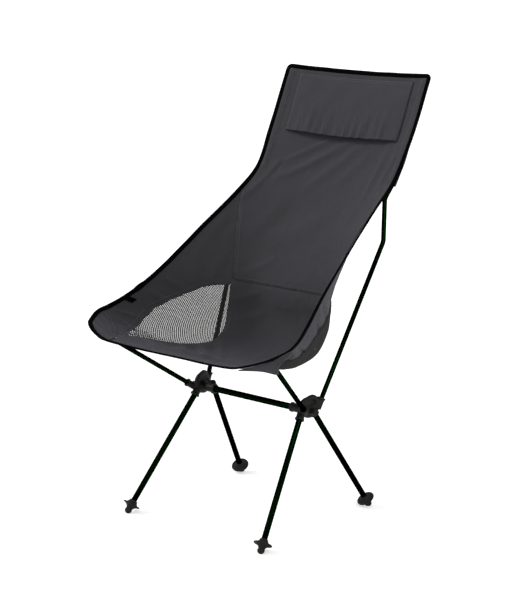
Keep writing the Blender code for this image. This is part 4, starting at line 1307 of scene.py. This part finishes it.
def add_hub(label, side):
    """One moulding: the sockets and their webs melted together, and a cap on its outer face."""
    work = bmesh.new()
    work.from_mesh(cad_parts["hub_" + label].data)
    bmesh.ops.remove_doubles(work, verts=work.verts, dist=0.00001)
    for start, end, radius in HUB_WEBS:
        add_web(work, place(Vector(start), side), place(Vector(end), side), radius)
    hub = new_piece("hub_moulding_" + label, work, HUB_NYLON, 0.0)
    melt = hub.modifiers.new("melt", "REMESH")
    melt.mode = "VOXEL"
    melt.voxel_size = HUB_VOXEL
    melt.use_smooth_shade = True
    soften = hub.modifiers.new("soften", "SMOOTH")
    soften.factor = 0.5
    soften.iterations = 4
    applied(hub)
    hub.data.shade_smooth()
    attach(hub, ROOT)
    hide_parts("hub_" + label)

    plug = spun([(0.0, 0.0), (0.0040, 0.0), (0.0044, 0.0004), (0.0044, 0.0024), (0.0040, 0.0029),
                 (0.0026, 0.0029), (0.0023, 0.0023), (0.0, 0.0021)], 40)
    outward = Vector((side, 0.0, 0.0))
    bmesh.ops.transform(plug, verts=plug.verts,
                        matrix=axis_frame(place(Vector((HUB_CAP_X, 0.0, CROSSBAR_HEIGHT)), side), outward))
    cap = new_piece("hub_cap_" + label, plug, HUB_NYLON, 40.0)
    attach(cap, ROOT)
    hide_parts("hub_plug_" + label)


def foot_profile():
    """Half section of the foot as (radius, height): ball tip, dished disc with a groove, and a collar."""
    tip = [(0.0082 * math.sin(math.radians(a)), 0.0155 + 0.0082 * math.cos(math.radians(a)))
           for a in range(0, 121, 12)]
    waist = [(0.0076, 0.0105), (0.0090, 0.0078), (0.0118, 0.0054), (0.0152, 0.0036), (0.0184, 0.0027)]
    rim = [(0.0197 + 0.0013 * math.cos(math.radians(a)), 0.0012 + 0.0013 * math.sin(math.radians(a)))
           for a in range(80, -81, -20)]
    back = [(0.0186, -0.0003), (0.0178, -0.0010), (0.0162, -0.0010), (0.0154, -0.0003), (0.0140, -0.0008),
            (0.0124, -0.0026), (0.0108, -0.0050), (0.0096, -0.0074)]
    mouth = [(0.0093, -0.0090), (0.0088, -0.0098), (0.0082, -0.0100), (0.0072, -0.0100), (0.0070, -0.0097),
             (0.0070, -0.0030), (0.0, -0.0030)]
    return tip + waist + rim + back + mouth


def add_foot(position, label, side, mouth, foot):
    """A foot in line with its leg, its ball worn flat where it meets the ground."""
    start, end = place(mouth, side), place(foot, side)
    outward = (end - start).normalized()
    work = spun(foot_profile(), 56)
    bmesh.ops.transform(work, verts=work.verts, matrix=axis_frame(end, outward))
    geometry = list(work.verts) + list(work.edges) + list(work.faces)
    cut = bmesh.ops.bisect_plane(work, geom=geometry, plane_co=(0, 0, 0), plane_no=(0, 0, -1),
                                 clear_outer=True)
    rim = [item for item in cut["geom_cut"] if isinstance(item, bmesh.types.BMEdge)]
    bmesh.ops.holes_fill(work, edges=rim)
    piece = new_piece("foot_{}_{}_rubber".format(position, label), work, FOOT_RUBBER, 38.0)
    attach(piece, "leg_{}_{}_body".format(position, label))
    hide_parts("foot_{}_{}".format(position, label))


def add_leg_cord(position, label, side, mouth, foot):
    """Elastic cord inside a leg, from the socket down to a knot above the foot."""
    start, end = place(mouth, side), place(foot, side)
    outward = (end - start).normalized()
    top = start - outward * (LEG_SOCKET_DEPTH - 0.0015)
    bottom = end - outward * 0.0155
    path = [top.lerp(bottom, step / 24) for step in range(25)]
    work = swept_skin(path, CORD_RADIUS, 12)
    bmesh.ops.holes_fill(work, edges=[edge for edge in work.edges if edge.is_boundary])
    knot = bmesh.ops.create_icosphere(work, subdivisions=2, radius=KNOT_RADIUS,
                                      matrix=Matrix.Translation(bottom))
    bmesh.ops.scale(work, verts=knot["verts"], vec=(1.0, 1.0, 1.15), space=Matrix.Translation(-bottom))
    node = "shock_cord_leg_{}_{}".format(position, label)
    cord = new_piece(node + "_braid", work, CORD_BRAID, 50.0)
    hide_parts(node)
    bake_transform(cord)


def add_frame():
    bar = [Vector((-CROSSBAR_END_X, 0.0, CROSSBAR_HEIGHT)) - ORIGIN,
           Vector((CROSSBAR_END_X, 0.0, CROSSBAR_HEIGHT)) - ORIGIN]
    drawn_tube("crossbar_tube", bar, CROSSBAR_RADIUS, "crossbar", ROOT, 32)
    for label, side in SIDES:
        add_poles(label, side)
        add_hub(label, side)
        for position, mouth, foot in LEGS:
            add_foot(position, label, side, mouth, foot)
            add_leg_cord(position, label, side, mouth, foot)


def finish_kept_nodes():
    """Inner pieces that keep their CAD shape."""
    kept = {"shock_cord_crossbar": CORD_BRAID}
    for label, _ in SIDES:
        kept["shock_cord_seat_pole_" + label] = CORD_BRAID
        kept["shock_cord_back_pole_" + label] = CORD_BRAID
        kept["ferrule_lower_" + label] = BARE_ALLOY
        kept["ferrule_upper_" + label] = BARE_ALLOY
        kept["seat_pole_tip_" + label] = HUB_NYLON
        kept["back_pole_tip_" + label] = HUB_NYLON
    for node, material in kept.items():
        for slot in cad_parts[node].material_slots:
            slot.material = material


# ---- stage ----
LENS = 101.9
CAMERA_PLACE = Vector((2.4582, -2.9119, 1.3734))
CAMERA_TARGET = Vector((0.021, 0.0, 0.480))
SKY = 0.57
SKY_SEEN = 0.45             # what the camera sees of the backdrop over what lights the chair
FLOOR_GLOW = 0.42
FLOOR_HALF = 30.0


def aimed(spot, target):
    """A camera or lamp at spot that looks at target."""
    return Matrix.Translation(spot) @ (target - spot).to_track_quat("-Z", "Y").to_matrix().to_4x4()


def add_camera():
    camera = bpy.data.objects.new("camera", bpy.data.cameras.new("camera"))
    bpy.context.scene.collection.objects.link(camera)
    camera.data.lens = LENS
    camera.data.sensor_width = 36.0
    camera.matrix_world = aimed(CAMERA_PLACE - ORIGIN, CAMERA_TARGET - ORIGIN)
    bpy.context.scene.camera = camera


def add_light(name, strength, spread, spot):
    """Broad soft lamp far away at spot, turned to the chair."""
    lamp = bpy.data.lights.new(name, "SUN")
    lamp.energy = strength
    lamp.angle = math.radians(spread)
    light = bpy.data.objects.new(name, lamp)
    bpy.context.scene.collection.objects.link(light)
    light.matrix_world = aimed(Vector(spot), Vector())


def add_stage():
    world = bpy.data.worlds.new("soft_room")
    world.use_nodes = True
    bpy.context.scene.world = world
    tree = world.node_tree
    background = tree.nodes["Background"]
    background.inputs["Color"].default_value = (1.0, 1.0, 1.0, 1.0)
    rays = tree.nodes.new("ShaderNodeLightPath")
    strength = math_node(tree, "MULTIPLY_ADD", rays.outputs["Is Camera Ray"], SKY_SEEN, SKY)
    tree.links.new(strength, background.inputs["Strength"])
    work = bmesh.new()
    bmesh.ops.create_grid(work, x_segments=2, y_segments=2, size=FLOOR_HALF)
    material, tree, shader = base_material("pale_floor", 0.9, 0.0, 0.1)
    coords = tree.nodes.new("ShaderNodeTexCoord")
    speckle = noise_node(tree, coords.outputs["Object"], 3.0)
    paint = mix_colours(tree, speckle, (0.93, 0.93, 0.93), (0.96, 0.96, 0.96))
    tree.links.new(paint, shader.inputs["Base Color"])
    seen = tree.nodes.new("ShaderNodeLightPath")
    shader.inputs["Emission Color"].default_value = (1.0, 1.0, 1.0, 1.0)
    tree.links.new(math_node(tree, "MULTIPLY", seen.outputs["Is Camera Ray"], FLOOR_GLOW),
                   shader.inputs["Emission Strength"])
    floor = new_piece("floor", work, material, 0.0)
    add_light("key_light", 1.32, 12.0, (-2.4, -1.3, 2.4))
    add_light("fill_light", 0.95, 26.0, (2.8, -1.5, 1.9))
    bpy.context.scene.view_settings.view_transform = "Standard"


add_camera()
add_stage()
add_frame()
add_sling()
add_nets()
for label, side in SIDES:
    add_sleeve(label, side)
    add_corner_pocket(label, side)
add_headrest()
add_edge_tape()
add_tab()
add_sewing()
finish_kept_nodes()
